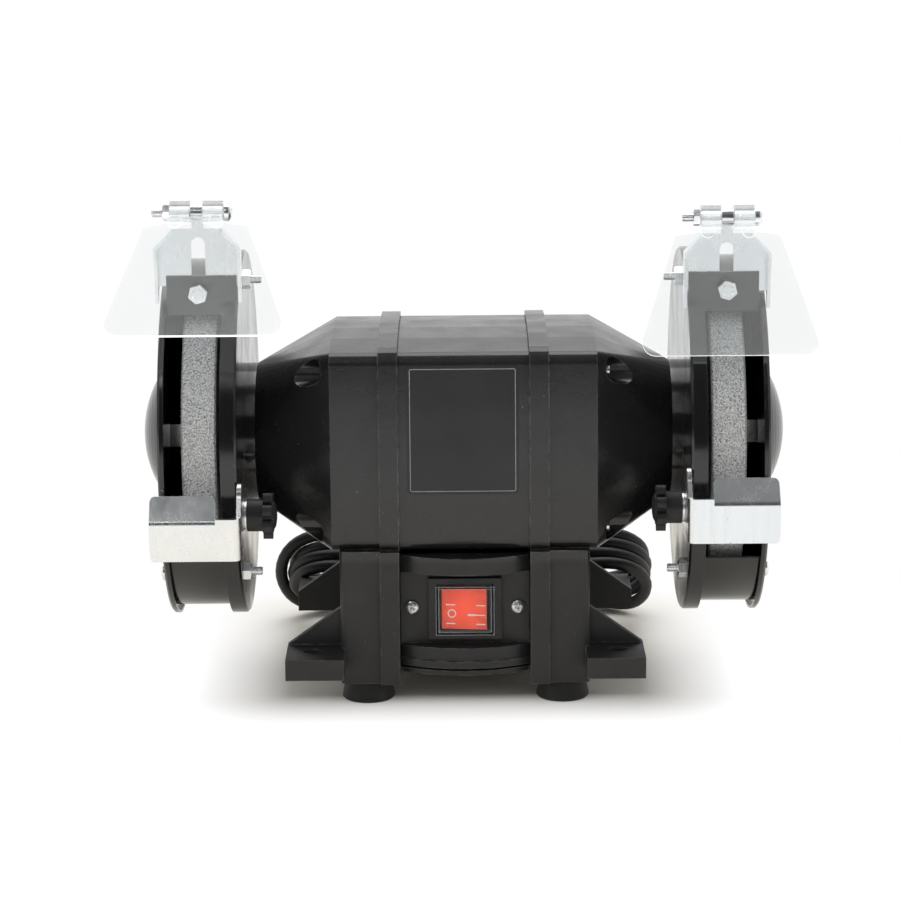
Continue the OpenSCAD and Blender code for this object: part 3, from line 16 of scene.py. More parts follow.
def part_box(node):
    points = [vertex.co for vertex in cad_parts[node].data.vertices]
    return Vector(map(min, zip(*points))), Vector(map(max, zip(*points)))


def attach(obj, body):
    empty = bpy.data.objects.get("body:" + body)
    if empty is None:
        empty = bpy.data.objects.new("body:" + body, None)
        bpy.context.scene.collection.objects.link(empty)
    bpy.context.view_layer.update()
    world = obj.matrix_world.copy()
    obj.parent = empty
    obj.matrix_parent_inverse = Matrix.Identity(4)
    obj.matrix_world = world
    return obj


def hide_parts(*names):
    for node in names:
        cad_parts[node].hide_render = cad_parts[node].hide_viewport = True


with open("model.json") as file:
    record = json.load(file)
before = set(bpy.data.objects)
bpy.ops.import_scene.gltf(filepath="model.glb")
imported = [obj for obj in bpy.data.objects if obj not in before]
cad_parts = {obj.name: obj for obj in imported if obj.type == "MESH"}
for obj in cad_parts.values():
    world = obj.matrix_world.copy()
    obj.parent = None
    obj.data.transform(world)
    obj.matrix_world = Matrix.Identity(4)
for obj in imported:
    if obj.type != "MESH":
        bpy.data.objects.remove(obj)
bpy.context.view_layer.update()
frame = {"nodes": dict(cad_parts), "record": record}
nodes = frame["nodes"]
shaft_low, shaft_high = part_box("rotor_shaft")
SHAFT_Y = (shaft_low[1] + shaft_high[1]) / 2
SHAFT_Z = (shaft_low[2] + shaft_high[2]) / 2
print("shaft axis at", round(SHAFT_Y, 5), round(SHAFT_Z, 5))

# %% [markdown]
# ## The camera
# A long lens a metre and a half away keeps upright edges almost parallel. The matrix is built from
# its right, up and backward directions, because that is easier to check than three turns. The small
# shift only places the machine within the frame.

# %% Camera
CAMERA_BACK = 1.50077
CAMERA_RISE = math.radians(12.146)
CAMERA_SIDE = math.radians(0.482)
CAMERA_ROLL = math.radians(-0.578)
AIM_X, AIM_Z = -0.013406, SHAFT_Z - 0.0076669

side_dir = Vector((math.cos(CAMERA_SIDE), math.sin(CAMERA_SIDE), 0))
deep_dir = Vector((-math.sin(CAMERA_SIDE), math.cos(CAMERA_SIDE), 0))
up_dir = deep_dir * math.sin(CAMERA_RISE) + Vector((0, 0, math.cos(CAMERA_RISE)))
look_dir = deep_dir * math.cos(CAMERA_RISE) - Vector((0, 0, math.sin(CAMERA_RISE)))
right = side_dir * math.cos(CAMERA_ROLL) + up_dir * math.sin(CAMERA_ROLL)
up = up_dir * math.cos(CAMERA_ROLL) - side_dir * math.sin(CAMERA_ROLL)
aim = side_dir * AIM_X + Vector((0, SHAFT_Y, AIM_Z))

camera = bpy.data.objects.new("camera", bpy.data.cameras.new("camera"))
bpy.context.scene.collection.objects.link(camera)
turn = Matrix((right, up, -look_dir)).transposed().to_4x4()
camera.matrix_world = Matrix.Translation(aim - look_dir * CAMERA_BACK) @ turn
camera.data.sensor_width = 36
camera.data.lens = 124.54
camera.data.shift_x = 0.0157
camera.data.shift_y = -0.0055
camera.data.clip_end = 20
bpy.context.scene.camera = camera
print("camera at", [round(v, 3) for v in camera.matrix_world.translation])

# %% [markdown]
# ## Small helpers for mesh and curve pieces
# Each made piece is a mesh or curve object in the machine's own frame, so it needs no fitting.
# Pieces are measured in millimetres from the shaft's own plane, as on a drawing, and one function
# turns that into the frame's metres.
# "Shaded smooth by angle" keeps turned faces round and leaves true edges sharp.

# %% Helpers for objects
MM = 0.001


def at(point):
    """A point given in millimetres from the shaft's plane, as metres of the frame."""
    return Vector((point[0] * MM, point[1] * MM + SHAFT_Y, point[2] * MM))


def new_object(name, data, finish, body):
    """Links a piece, gives it its finish and says which body it rides on."""
    piece = bpy.data.objects.new(name, data)
    bpy.context.scene.collection.objects.link(piece)
    data.materials.append(finish)
    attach(piece, body)
    return piece


def mesh_from(name, points, faces, sharp_degrees=35):
    """A mesh from points in millimetres, smooth where faces meet at less than the given angle."""
    mesh = bpy.data.meshes.new(name)
    mesh.from_pydata([at(p) for p in points], [], faces)
    mesh.validate()
    shape = bmesh.new()
    shape.from_mesh(mesh)
    bmesh.ops.remove_doubles(shape, verts=shape.verts, dist=1e-6)
    bmesh.ops.recalc_face_normals(shape, faces=shape.faces)
    shape.to_mesh(mesh)
    shape.free()
    mesh.shade_smooth()
    mesh.set_sharp_from_angle(angle=math.radians(sharp_degrees))
    return mesh


# %% [markdown]
# ## The mains lead
# A 6.2 mm rubber lead leaves the strain relief at the back, drops over a folded hank and ends in a
# round earthed plug. It could be laid by a physics simulation, but a short relaxation in plain
# arithmetic is quicker and gives the same result each time: the route is a string of points that
# resist bending, keep their spacing and push away any stretch that comes too near.
# The route's first and last stretches repeat the CAD model's own points.

# %% The route of the lead, in millimetres
LEAD_D = 6.2
LEAD_STEP = 4.0
LEAD_START = [
    (0, 75.5, 52), (0, 82, 52), (-1.5, 88.5, 52.8), (-4, 94.6, 51), (-7, 100, 46.8), (-11, 105.5, 40.6),
    (-16, 110.5, 32.5), (-22, 115, 25), (-29, 119, 18), (-37, 121.5, 11.5), (-46, 122, 6.5),
    (-55, 121, 4), (-64, 118, 3.4), (-72, 114, 3.4), (-78, 110, 3.8), (-84, 104, 6),
]
LEAD_END = [
    (84, 104, 6), (78, 110, 3.8), (72, 114.5, 3.4), (64, 120, 3.8), (57, 125, 5.5),
    (50, 129.5, 8.6), (43, 133.2, 12.4), (36, 136, 15.8), (29, 137, 18),
]
HANK_LEAN = math.radians(130)
HANK_FOOT = np.array([0, 100.48, 1.23])
HANK_ACROSS = np.array([0, math.cos(HANK_LEAN), math.sin(HANK_LEAN)])
HANK_THROUGH = np.array([0, -math.sin(HANK_LEAN), math.cos(HANK_LEAN)])
HANK_MIDDLE = HANK_FOOT + 22 * HANK_ACROSS - 10.5 * HANK_THROUGH


def in_hank(along, across, through):
    """A point of the hank: along its length, across its width and through its thickness."""
    return HANK_MIDDLE + np.array([along, 0, 0]) + across * HANK_ACROSS + through * HANK_THROUGH


# %% [markdown]
# The hank is seven runs and eight end loops. A tie gathers the runs into a tight bundle in the
# middle, and they fan out into flat loops at both ends, so each run has a seat in the bundle and a
# lane at the ends.

# %% Runs and loops of the hank
RUN_END = 66
LOOP_R = 21
UPPER_SEATS = [(3.4, -5.8), (6.6, 0), (3.4, 5.8), (0, 0)]
LOWER_SEATS = [(-3.4, -5.8), (-6.6, 0), (-3.4, 5.8)]
UPPER_LANES = [(20.5, -9.3), (20.5, -2.9), (20.5, 3.5), (20.5, 9.9)]
LOWER_LANES = [(-20.5, -9.3), (-20.5, -2.9), (-20.5, 3.5)]
LEAD_LANE = (-18.8, 9.9)
LEFT_REACH = [94.5, 88, 89, 88]
RIGHT_REACH = [93, 94, 93, 94]


def ease(t):
    return t * t * (3 - 2 * t)


def hank_run(seat, lane, direction):
    points = []
    for along in np.linspace(-RUN_END, RUN_END, 45) * direction:
        t = ease(min(1, max(0, (abs(along) - 8) / (RUN_END - 8))))
        across = seat[0] + (lane[0] - seat[0]) * t
        through = seat[1] + (lane[1] - seat[1]) * t
        points.append(in_hank(along, across, through))
    return points


def hank_loop(side, lane_in, lane_out, reach, first=0.0, last=1.0):
    points = []
    for t in np.linspace(first, last, 15)[1:-1]:
        along = side * (reach - LOOP_R + LOOP_R * math.sin(math.pi * t))
        across = (lane_in[0] + lane_out[0]) / 2 + (lane_in[0] - lane_out[0]) / 2 * math.cos(math.pi * t)
        through = lane_in[1] + (lane_out[1] - lane_in[1]) * ease(t)
        points.append(in_hank(along, across, through))
    return points


lead_points = [np.array(p, float) for p in LEAD_START]
lead_points += hank_loop(-1, LEAD_LANE, UPPER_LANES[0], LEFT_REACH[0], first=0.28)
for k in range(4):
    lead_points += hank_run(UPPER_SEATS[k], UPPER_LANES[k], 1)
    if k < 3:
        lead_points += hank_loop(1, UPPER_LANES[k], LOWER_LANES[k], RIGHT_REACH[k])
        lead_points += hank_run(LOWER_SEATS[k], LOWER_LANES[k], -1)
        lead_points += hank_loop(-1, LOWER_LANES[k], UPPER_LANES[k + 1], LEFT_REACH[k + 1])
lead_points += hank_loop(1, UPPER_LANES[3], LEAD_LANE, RIGHT_REACH[3], last=0.74)
lead_points += [np.array(p, float) for p in LEAD_END]


# %% Relax the route
SMOOTHING, PULL, PUSH, MOST_PUSH = 0.6, 0.25, 0.35, 1.2
NEAR_BY, KEEP_OFF, BENCH_GAP = 0.25, 0.3, 0.2
NEIGHBOURS, ROUNDS = 4, 160


def spaced(points, step):
    """The same line with its points an even step apart."""
    points = np.array(points)
    run = np.r_[0, np.cumsum(np.linalg.norm(np.diff(points, axis=0), axis=1))]
    marks = np.linspace(0, run[-1], int(round(run[-1] / step)) + 1)
    return np.stack([np.interp(marks, run, points[:, axis]) for axis in range(3)], 1)


def relaxed(points, step, diameter, rounds):
    """Bends the line smoothly while keeping its stretches a diameter apart and above the bench."""
    count = len(points)
    order = np.arange(count)
    held = ((order < 3) | (order > count - 4))[:, None]
    apart = np.abs(order[:, None] - order[None, :]) > NEIGHBOURS
    for _ in range(rounds):
        smooth = points.copy()
        near = points[1:-3] + points[3:-1]
        far = points[:-4] + points[4:]
        smooth[2:-2] = (1 - SMOOTHING) * points[2:-2] + SMOOTHING * (4 * near - far) / 6
        points = np.where(held, points, smooth)
        link = points[1:] - points[:-1]
        length = np.linalg.norm(link, axis=1, keepdims=True)
        pull = link / length * (length - step) * PULL
        move = np.zeros_like(points)
        move[:-1] += pull
        move[1:] -= pull
        between = points[:, None, :] - points[None, :, :]
        gap = np.linalg.norm(between, axis=2)
        close = apart & (gap < diameter + NEAR_BY)
        push = between / (gap[..., None] + 1e-6) * (diameter + KEEP_OFF - gap)[..., None] * PUSH
        push = np.where(close[..., None], push, 0).sum(1)
        size = np.linalg.norm(push, axis=1, keepdims=True)
        move += push * np.minimum(1, MOST_PUSH / (size + 1e-9))
        points = np.where(held, points, points + move)
        points[:, 2] = np.maximum(points[:, 2], diameter / 2 + BENCH_GAP)
    return points


lead_line = relaxed(spaced(lead_points, LEAD_STEP), LEAD_STEP, LEAD_D, ROUNDS)
lead_length = np.linalg.norm(np.diff(lead_line, axis=0), axis=1).sum() * MM
print("lead:", len(lead_line), "points,", round(lead_length, 3), "m")

# %% [markdown]
# ## Finishes
# Every finish is a node graph on one Principled shader. A grain, streak or bump comes from noise in
# object space, so it keeps its real size on every piece. Constants go straight on the shader's
# sockets, and only what varies over the surface is linked.
# A small class takes up what repeats in such graphs: adding a node, and feeding its sockets.

# %% A helper for node graphs
class Graph:
    """A node tree with short ways to add nodes and to feed their sockets."""

    def __init__(self, tree):
        self.tree = tree

    def add(self, kind, inputs=(), **settings):
        """A new node. Its inputs are given in their order, or by name or number as a dict."""
        node = self.tree.nodes.new(kind)
        for key, value in settings.items():
            setattr(node, key, value)
        for socket, value in inputs.items() if isinstance(inputs, dict) else enumerate(inputs):
            self.feed(value, node, socket)
        return node

    def feed(self, value, node, socket):
        """Joins another node's output to a socket, or sets the socket to a plain value."""
        if isinstance(value, bpy.types.NodeSocket):
            self.tree.links.new(value, node.inputs[socket])
        else:
            node.inputs[socket].default_value = value

    def maths(self, how, *values, **settings):
        return self.add("ShaderNodeMath", values, operation=how, **settings).outputs[0]

    def vector(self, how, *values):
        """Vector arithmetic. A dot product, a length and a distance are plain numbers."""
        node = self.add("ShaderNodeVectorMath", values, operation=how)
        return node.outputs["Value" if how in ("DOT_PRODUCT", "LENGTH", "DISTANCE") else "Vector"]

    def both(self, a, b, how="MULTIPLY"):
        return self.maths(how, a, b)

    def axes(self, vector):
        return self.add("ShaderNodeSeparateXYZ", [vector]).outputs

    def spread(self, value, low, high, to_low=0.0, to_high=1.0, how="LINEAR"):
        """Stretches the values from low to high onto another range, and holds the rest at its ends."""
        numbers = (value, low, high, to_low, to_high)
        return self.add("ShaderNodeMapRange", numbers, interpolation_type=how).outputs["Result"]


# %% A helper for finishes
BEVEL_RAYS = 4
FLAT_DOT, EDGE_DOT = 0.97, 0.75


class Finish(Graph):
    """A material with short ways to add noise, tints and bumps."""

    def __init__(self, name, colour, rough, metal=0.0, ior=1.5):
        self.material = bpy.data.materials.new(name)
        self.material.use_nodes = True
        super().__init__(self.material.node_tree)
        self.shader = self.tree.nodes["Principled BSDF"]
        constants = {"Base Color": (*colour, 1), "Roughness": rough, "Metallic": metal, "IOR": ior}
        for socket, value in constants.items():
            self.feed(value, self.shader, socket)
        self.place = self.add("ShaderNodeTexCoord").outputs["Object"]
        self.normal = None

    def stretched(self, scale):
        return self.add("ShaderNodeMapping", {"Scale": scale, "Vector": self.place}).outputs["Vector"]

    def noise(self, scale, detail=2.0, rough=0.5, stretch=None):
        place = self.stretched(stretch) if stretch else self.place
        inputs = {"Scale": scale, "Detail": detail, "Roughness": rough, "Vector": place}
        return self.add("ShaderNodeTexNoise", inputs).outputs["Fac"]

    def blotches(self, scale, detail, to_low=0.0, to_high=1.0):
        """Soft patches that reach both ends of a range."""
        return self.spread(self.noise(scale, detail), 0.3, 0.7, to_low, to_high)

    def cells(self, scale):
        inputs = {"Scale": scale, "Vector": self.place}
        return self.add("ShaderNodeTexVoronoi", inputs, feature="F1").outputs["Distance"]

    def tint(self, amount, colour_a, colour_b):
        """A colour between two, by amount. Either colour may be another node's output."""
        pair = [(*c, 1) if isinstance(c, tuple) else c for c in (colour_a, colour_b)]
        return self.add("ShaderNodeMix", {0: amount, 6: pair[0], 7: pair[1]}, data_type="RGBA").outputs[2]

    def colour(self, output):
        self.feed(output, self.shader, "Base Color")

    def rough(self, output):
        self.feed(output, self.shader, "Roughness")

    def shade_by(self, normal):
        """Makes a normal the one that the shader uses and later bumps build on."""
        self.normal = normal
        self.feed(normal, self.shader, "Normal")

    def bevel(self, radius):
        return self.add("ShaderNodeBevel", {"Radius": radius}, samples=BEVEL_RAYS).outputs["Normal"]

    def rounded(self, radius):
        """Shades sharp edges as if they had this radius."""
        self.shade_by(self.bevel(radius))

    def edges(self, radius):
        """1 along sharp edges and 0 on flats: how far a rounded normal leans from the true one."""
        true = self.add("ShaderNodeNewGeometry").outputs["Normal"]
        return self.spread(self.vector("DOT_PRODUCT", self.bevel(radius), true), FLAT_DOT, EDGE_DOT)

    def bump(self, height, distance, strength):
        inputs = {"Distance": distance, "Strength": strength, "Height": height}
        if self.normal is not None:
            inputs["Normal"] = self.normal
        self.shade_by(self.add("ShaderNodeBump", inputs).outputs["Normal"])


finish = {}


def keep(slot, f):
    """Keeps a finish under the name of its material slot."""
    finish[slot] = f.material
    print(slot, "takes", len(f.tree.nodes), "nodes")


# %% [markdown]
# ## Textured black paint
# The castings are sprayed with a thick, faintly pebbled black enamel. The pebbling is a fine noise
# bump, the casting under it a broader one, and the colour lifts on sharp edges and ledges: partly
# rubbed-through wear, partly a painted highlight for the thin glints that those edges catch. A few
# pale specks are the dust that such a dark surface always shows, and the pedestal is duller.
# The long front and back faces bulge slightly, and the CAD model builds that bulge from four flat
# strips. Their joints would show in the gloss. Finer strips would be truer, but these faces belong
# to the CAD model, so their shading normals are swapped for those of one smooth bulge.

# %% The bulge of the long faces
BULGE_R, BODY_BOTTOM = 0.42, 0.071
FACING_LOW, FACING_HIGH = 0.985, 0.987


def bulged_normal(f):
    """Turns the normal of the long front and back faces into that of one smooth bulge."""
    height = f.axes(f.place)["Z"]
    toward = f.axes(f.add("ShaderNodeNewGeometry").outputs["True Normal"])["Y"]
    rise = f.spread(height, SHAFT_Z - BULGE_R, SHAFT_Z + BULGE_R, -1, 1)
    bulge = f.add("ShaderNodeCombineXYZ", {"Y": f.maths("SIGN", toward), "Z": rise})
    smooth = f.vector("NORMALIZE", bulge.outputs[0])
    on_body = f.spread(height, BODY_BOTTOM, BODY_BOTTOM + 0.001)
    on_face = f.spread(f.maths("ABSOLUTE", toward), FACING_LOW, FACING_HIGH)
    inputs = {0: f.both(on_face, on_body), 4: f.normal, 5: smooth}
    f.shade_by(f.add("ShaderNodeMix", inputs, data_type="VECTOR").outputs[1])


# %% Textured paint
DULL_STEP = 0.003
f = Finish("textured_paint", (0.014, 0.014, 0.0145), 0.3, ior=1.6)
f.rounded(0.0007)
bulged_normal(f)
dust = f.both(f.spread(f.cells(260), 0.10, 0.05), f.spread(f.noise(35, 3), 0.56, 0.66))
# Edge lift: partly real wear and partly a painted highlight for the glints that edges catch.
wear_and_glint = f.both(f.edges(0.0009), f.spread(f.noise(220, 4, 0.65), 0.40, 0.62))
patchy = f.spread(f.noise(28, 4, 0.6), 0.3, 0.7)
base = f.tint(patchy, (0.012, 0.012, 0.0125), (0.016, 0.016, 0.0165))
# The pale edge colour is part wear, part painted highlight.
base = f.tint(wear_and_glint, base, (0.17, 0.17, 0.17))
f.colour(f.tint(dust, base, (0.16, 0.16, 0.155)))
duller_foot = f.spread(f.axes(f.place)["Z"], BODY_BOTTOM - DULL_STEP, BODY_BOTTOM, 0.24, 0.0)
f.rough(f.both(f.blotches(60, 3, 0.22, 0.32), duller_foot, "ADD"))
f.bump(f.noise(60, 3), 0.0004, 0.4)
f.bump(f.noise(800, 3, 0.6), 0.00009, 0.6)
keep("textured_paint", f)

# %% [markdown]
# ## Gloss black paint on the guards
# Pressed sheet takes a thinner, glossier coat, so the guards mirror their surroundings. Handling
# and sparks leave thin pale smears, made where a fine and a broad noise are both high.

# %% Gloss paint
f = Finish("gloss_paint", (0.006, 0.006, 0.0065), 0.16, ior=1.65)
f.rounded(0.0004)
smear = f.both(f.spread(f.noise(300, 6, 0.7, (1.0, 0.35, 0.35)), 0.58, 0.74),
               f.spread(f.noise(26, 2), 0.5, 0.66))
f.colour(f.tint(smear, (0.006, 0.006, 0.0065), (0.07, 0.07, 0.07)))
f.rough(f.spread(f.noise(45, 4), 0.3, 0.75, 0.10, 0.24))
f.bump(f.noise(130, 2), 0.00014, 0.3)
keep("guard_paint", f)

# %% [markdown]
# ## Zinc plating
# Brackets, rests and fasteners are bright zinc: a metal with a cold cast, faint rolling streaks,
# cloudy patches where the bath dried, and a few dull spots.

# %% Zinc plating
f = Finish("zinc_plate", (0.88, 0.91, 0.93), 0.24, metal=1.0)
f.rounded(0.0003)
cloud = f.spread(f.noise(48, 5, 0.62), 0.34, 0.68)
streak = f.spread(f.noise(420, 3, 0.5, (1.0, 1.0, 0.06)), 0.3, 0.7)
base = f.tint(cloud, (0.86, 0.90, 0.92), (0.95, 0.96, 0.965))
spot = f.both(f.spread(f.cells(150), 0.12, 0.06), f.spread(f.noise(60, 2), 0.62, 0.68))
f.colour(f.tint(spot, base, (0.62, 0.62, 0.61)))
f.rough(f.both(f.spread(cloud, 0, 1, 0.20, 0.30), f.spread(streak, 0, 1, 0.85, 1.2)))
f.bump(f.noise(500, 2, 0.5, (1.0, 1.0, 0.2)), 0.00001, 0.3)
keep("zinc_plate", f)

# %% [markdown]
# ## Abrasive stone
# The wheels are grey aluminium oxide: sharp grains of many greys with dark pores between them. Cells
# and a finer noise make the grain, and the same two raise the bump, so light and shade agree. A
# third noise darkens the pores.

# %% Grinding stone
f = Finish("grinding_stone", (0.40, 0.41, 0.42), 0.9)
grain = f.cells(1300)
fine = f.noise(2600, 4, 0.7)
tone = f.both(f.spread(grain, 0.15, 0.75), f.spread(fine, 0.35, 0.65), "ADD")
base = f.tint(f.spread(tone, 0.4, 1.8), (1.0, 1.0, 1.0), (0.38, 0.41, 0.43))
f.colour(f.tint(f.spread(f.noise(1500, 3, 0.6), 0.50, 0.66), base, (0.13, 0.14, 0.145)))
f.bump(grain, 0.00025, 0.7)
f.bump(fine, 0.00012, 0.6)
keep("grinding_stone", f)

# %% [markdown]
# ## Clear plastic for the eye shields
# A flat plate of clear plastic carries light to its cut edges, which look bright, while its faces
# stay clear. Tracing that light would take many bounces, so the edges are whiter and give off a
# little light of their own. A normal that points away from the plate's own face marks them. The
# knuckles round the hinge are left nearly clear, with a faint painted glow of their own. The haze
# of fine scratches keeps the plate from vanishing.

# %% Clear plastic
HINGE_PLACES = {"left": (-50.5, 233.0), "right": (-50.5, 228.8)}
EDGE_GLOW, KNUCKLE_GLOW = 0.75, 0.04


def plate_normal(node):
    """The direction that the largest flat face of a node looks in."""
    totals = {}
    for face in node.data.polygons:
        key = tuple(round(v, 2) for v in face.normal)
        totals[key] = totals.get(key, 0) + face.area
    return max(totals, key=totals.get)


def shield_plastic(side):
    f = Finish(side + "_shield_plastic", (0.97, 0.985, 0.99), 0.03, ior=1.49)
    true = f.add("ShaderNodeTexCoord").outputs["Normal"]
    facing = f.maths("ABSOLUTE", f.vector("DOT_PRODUCT", true, plate_normal(nodes[side + "_eye_shield"])))
    from_hinge = f.vector("SUBTRACT", f.place, at((0, *HINGE_PLACES[side])))
    reach = f.vector("LENGTH", f.vector("MULTIPLY", from_hinge, (0, 1, 1)))
    edge = f.both(f.spread(facing, 0.7, 0.4), f.spread(reach, 0.007, 0.009))
    knuckle = f.spread(reach, 0.0085, 0.0065)
    scratch = f.spread(f.noise(500, 5, 0.7, (0.15, 1.0, 1.0)), 0.64, 0.72)
    haze = f.spread(f.noise(30, 4), 0.45, 0.75, 0.0, 0.025)
    dull = f.both(haze, f.spread(scratch, 0, 1, 0.0, 0.10), "ADD")
    f.rough(f.both(dull, f.spread(edge, 0, 1, 0.0, 0.35), "ADD"))
    f.colour(f.tint(edge, (0.97, 0.985, 0.99), (0.86, 0.90, 0.92)))
    clear = f.both(f.spread(edge, 0, 1, 0.92, 0.15), f.spread(knuckle, 0, 1, 1.0, 0.85))
    f.feed(clear, f.shader, "Transmission Weight")
    f.feed((0.93, 0.97, 1.0, 1), f.shader, "Emission Color")
    # Painted glow: the cut edges, and faintly the knuckles, give off light of their own.
    glow = f.both(f.spread(edge, 0, 1, 0.0, EDGE_GLOW), f.spread(knuckle, 0, 1, 0.0, KNUCKLE_GLOW), "ADD")
    f.feed(glow, f.shader, "Emission Strength")
    return f.material


# %% [markdown]
# ## Splash cover
# The soft cover over the switch is a thin moulded skin. It is clear over the rocker and milky where
# it bends at its rim, so an edge mask whitens it there. Its index is set low, because so thin a skin
# hardly bends the light.

# %% Splash cover plastic
f = Finish("splash_plastic", (0.98, 0.985, 0.99), 0.03, ior=1.25)
edge = f.edges(0.0009)
f.rough(f.both(f.blotches(60, 3, 0.02, 0.06), f.spread(edge, 0, 1, 0.0, 0.3), "ADD"))
f.colour(f.tint(edge, (0.98, 0.985, 0.99), (0.70, 0.76, 0.84)))
f.feed(f.spread(edge, 0, 1, 1.0, 0.45), f.shader, "Transmission Weight")
f.bump(f.noise(200, 2), 0.00003, 0.3)
keep("clear_plastic", f)

# %% [markdown]
# ## Rubber, moulded plastics, paper and copper
# These differ in colour, in roughness and in the size and depth of their grain, so one small recipe
# with a few numbers makes them all.

# %% Rubber, plastics, paper and copper
def moulded(name, colour, rough, grain, depth):
    f = Finish(name, colour, rough)
    f.rounded(0.0004)
    darker = tuple(0.7 * c for c in colour)
    f.colour(f.tint(f.blotches(40, 4), darker, colour))
    f.rough(f.blotches(90, 3, rough - 0.06, rough + 0.08))
    f.bump(f.noise(grain, 2), depth, 0.6)
    keep(name, f)


moulded("black_rubber", (0.016, 0.016, 0.017), 0.5, 700, 0.00006)
moulded("black_plastic", (0.014, 0.014, 0.015), 0.38, 1100, 0.00004)
moulded("blotter_paper", (0.62, 0.50, 0.32), 0.85, 1500, 0.00006)
moulded("winding_copper", (0.45, 0.17, 0.07), 0.35, 900, 0.0001)
moulded("capacitor_case", (0.72, 0.70, 0.64), 0.45, 900, 0.00003)

# %% [markdown]
# ## The lit rocker
# The rocker is translucent red plastic with a small lamp behind it, so it is brightest in the
# middle. A lamp inside it would light its neighbours too, so its own face gives off the glow.

# %% Red rocker
LAMP_PLACE = (1, -47, 45)
LAMP_GLOW = 0.60
GLOW_NEAR, GLOW_FAR = 0.003, 0.014

f = Finish("red_rocker", (0.88, 0.085, 0.035), 0.25)
f.rounded(0.0004)
f.colour(f.tint(f.blotches(220, 2), (0.80, 0.06, 0.02), (0.90, 0.085, 0.025)))
from_lamp = f.vector("DISTANCE", f.place, at(LAMP_PLACE))
f.feed((1.0, 0.07, 0.025, 1), f.shader, "Emission Color")
f.feed(f.spread(from_lamp, GLOW_NEAR, GLOW_FAR, LAMP_GLOW, 0.0), f.shader, "Emission Strength")
f.rough(f.blotches(90, 3, 0.2, 0.32))
keep("red_rocker", f)

# %% [markdown]
# ## Bare steel
# The shaft and the other turned parts are bare. Their fine marks run round them, so the noise that
# roughens them is stretched across the shaft.

# %% Bare steel
f = Finish("bare_steel", (0.50, 0.51, 0.53), 0.3, metal=1.0)
f.rounded(0.0002)
f.rough(f.spread(f.noise(500, 3, 0.5, (1.0, 0.1, 0.1)), 0.3, 0.7, 0.22, 0.42))
f.colour(f.tint(f.noise(80, 4), (0.42, 0.43, 0.45), (0.58, 0.59, 0.60)))
keep("bare_steel", f)

# %% [markdown]
# ## Each node gets its finish
# The record names a material slot for each node, so one loop dresses them all. Only the eye
# shields need one material each, because each has its own face direction and hinge.

# %% Dress the nodes
slot_of = {part["node"]: part["material_slot"] for part in frame["record"]["subparts"]}
for name, node in nodes.items():
    for place in node.material_slots:
        place.material = finish[slot_of[name]]
for side in HINGE_PLACES:
    for place in nodes[side + "_eye_shield"].material_slots:
        place.material = shield_plastic(side)
print(len(finish), "finishes on", len(nodes), "nodes")

# %% [markdown]
# ## Turned and many-sided forms
# Screws, nuts, plug and strain relief are all rings of points stacked along an axis. A ring may be a
# circle, a hexagon or a cross, so its radius and its height are each a number or a function of the
# angle. Recesses, chamfers and threads can then be real forms, and one helper makes them all.

# %% Ring forms
TURN = 2 * math.pi


def skin(first, rows, count):
    """The faces that join rows of points, each a closed ring of count, from the first point on."""
    faces = []
    for row in range(rows - 1):
        for k in range(count):
            a, b = first + row * count + k, first + row * count + (k + 1) % count
            faces.append((a, b, b + count, a + count))
    return faces


class Rings:
    """Points and faces gathered from ringed parts, each laid along an axis at a place."""

    def __init__(self):
        self.points = []
        self.faces = []

    def stack(self, rings, place, axis, angles=36, spin=0.0):
        """Joins rings of (radius, height) into a closed skin. Angles is a count or a list."""
        if isinstance(angles, int):
            angles = [TURN * k / angles for k in range(angles)]
        first = len(self.points)
        swing = Vector((0, 0, 1)).rotation_difference(Vector(axis)).to_matrix()
        for radius, height in rings:
            for angle in angles:
                r = radius(angle) if callable(radius) else radius
                h = height(angle) if callable(height) else height
                local = Vector((r * math.cos(angle + spin), r * math.sin(angle + spin), h))
                self.points.append(tuple(swing @ local + Vector(place)))
        count = len(angles)
        self.faces += skin(first, len(rings), count)
        self.faces.append(tuple(first + k for k in range(count))[::-1])
        last = first + (len(rings) - 1) * count
        self.faces.append(tuple(last + k for k in range(count)))

    def piece(self, name, finish_name, body, stands_for=None, sharp_degrees=35):
        """Makes the gathered parts one piece, which may stand for a CAD node."""
        mesh = mesh_from(name, self.points, self.faces, sharp_degrees)
        made = new_object(name, mesh, finish[finish_name], body)
        if stands_for:
            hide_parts(stands_for)
        print(name, "has", len(mesh.polygons), "faces")
        return made


# %% Heads, nuts and threads
CROSS_HALF = 0.55
CHAMFER_SLOPE = 0.58
ROWS_PER_TURN = 5


def cross_angles(arm):
    """The angles at which a cross with these arms has corners, and a few between."""
    corner = math.atan2(CROSS_HALF, arm)
    between = (corner + TURN / 8) / 2
    quarter = [-corner, 0, corner, between, TURN / 8, TURN / 4 - between]
    return [a + k * TURN / 4 for k in range(4) for a in quarter]


def cross_radius(arm):
    def radius(angle):
        lean = abs((angle + TURN / 8) % (TURN / 4) - TURN / 8)
        side = CROSS_HALF / max(math.sin(lean), 1e-6)
        return min(arm / math.cos(lean), side)
    return radius


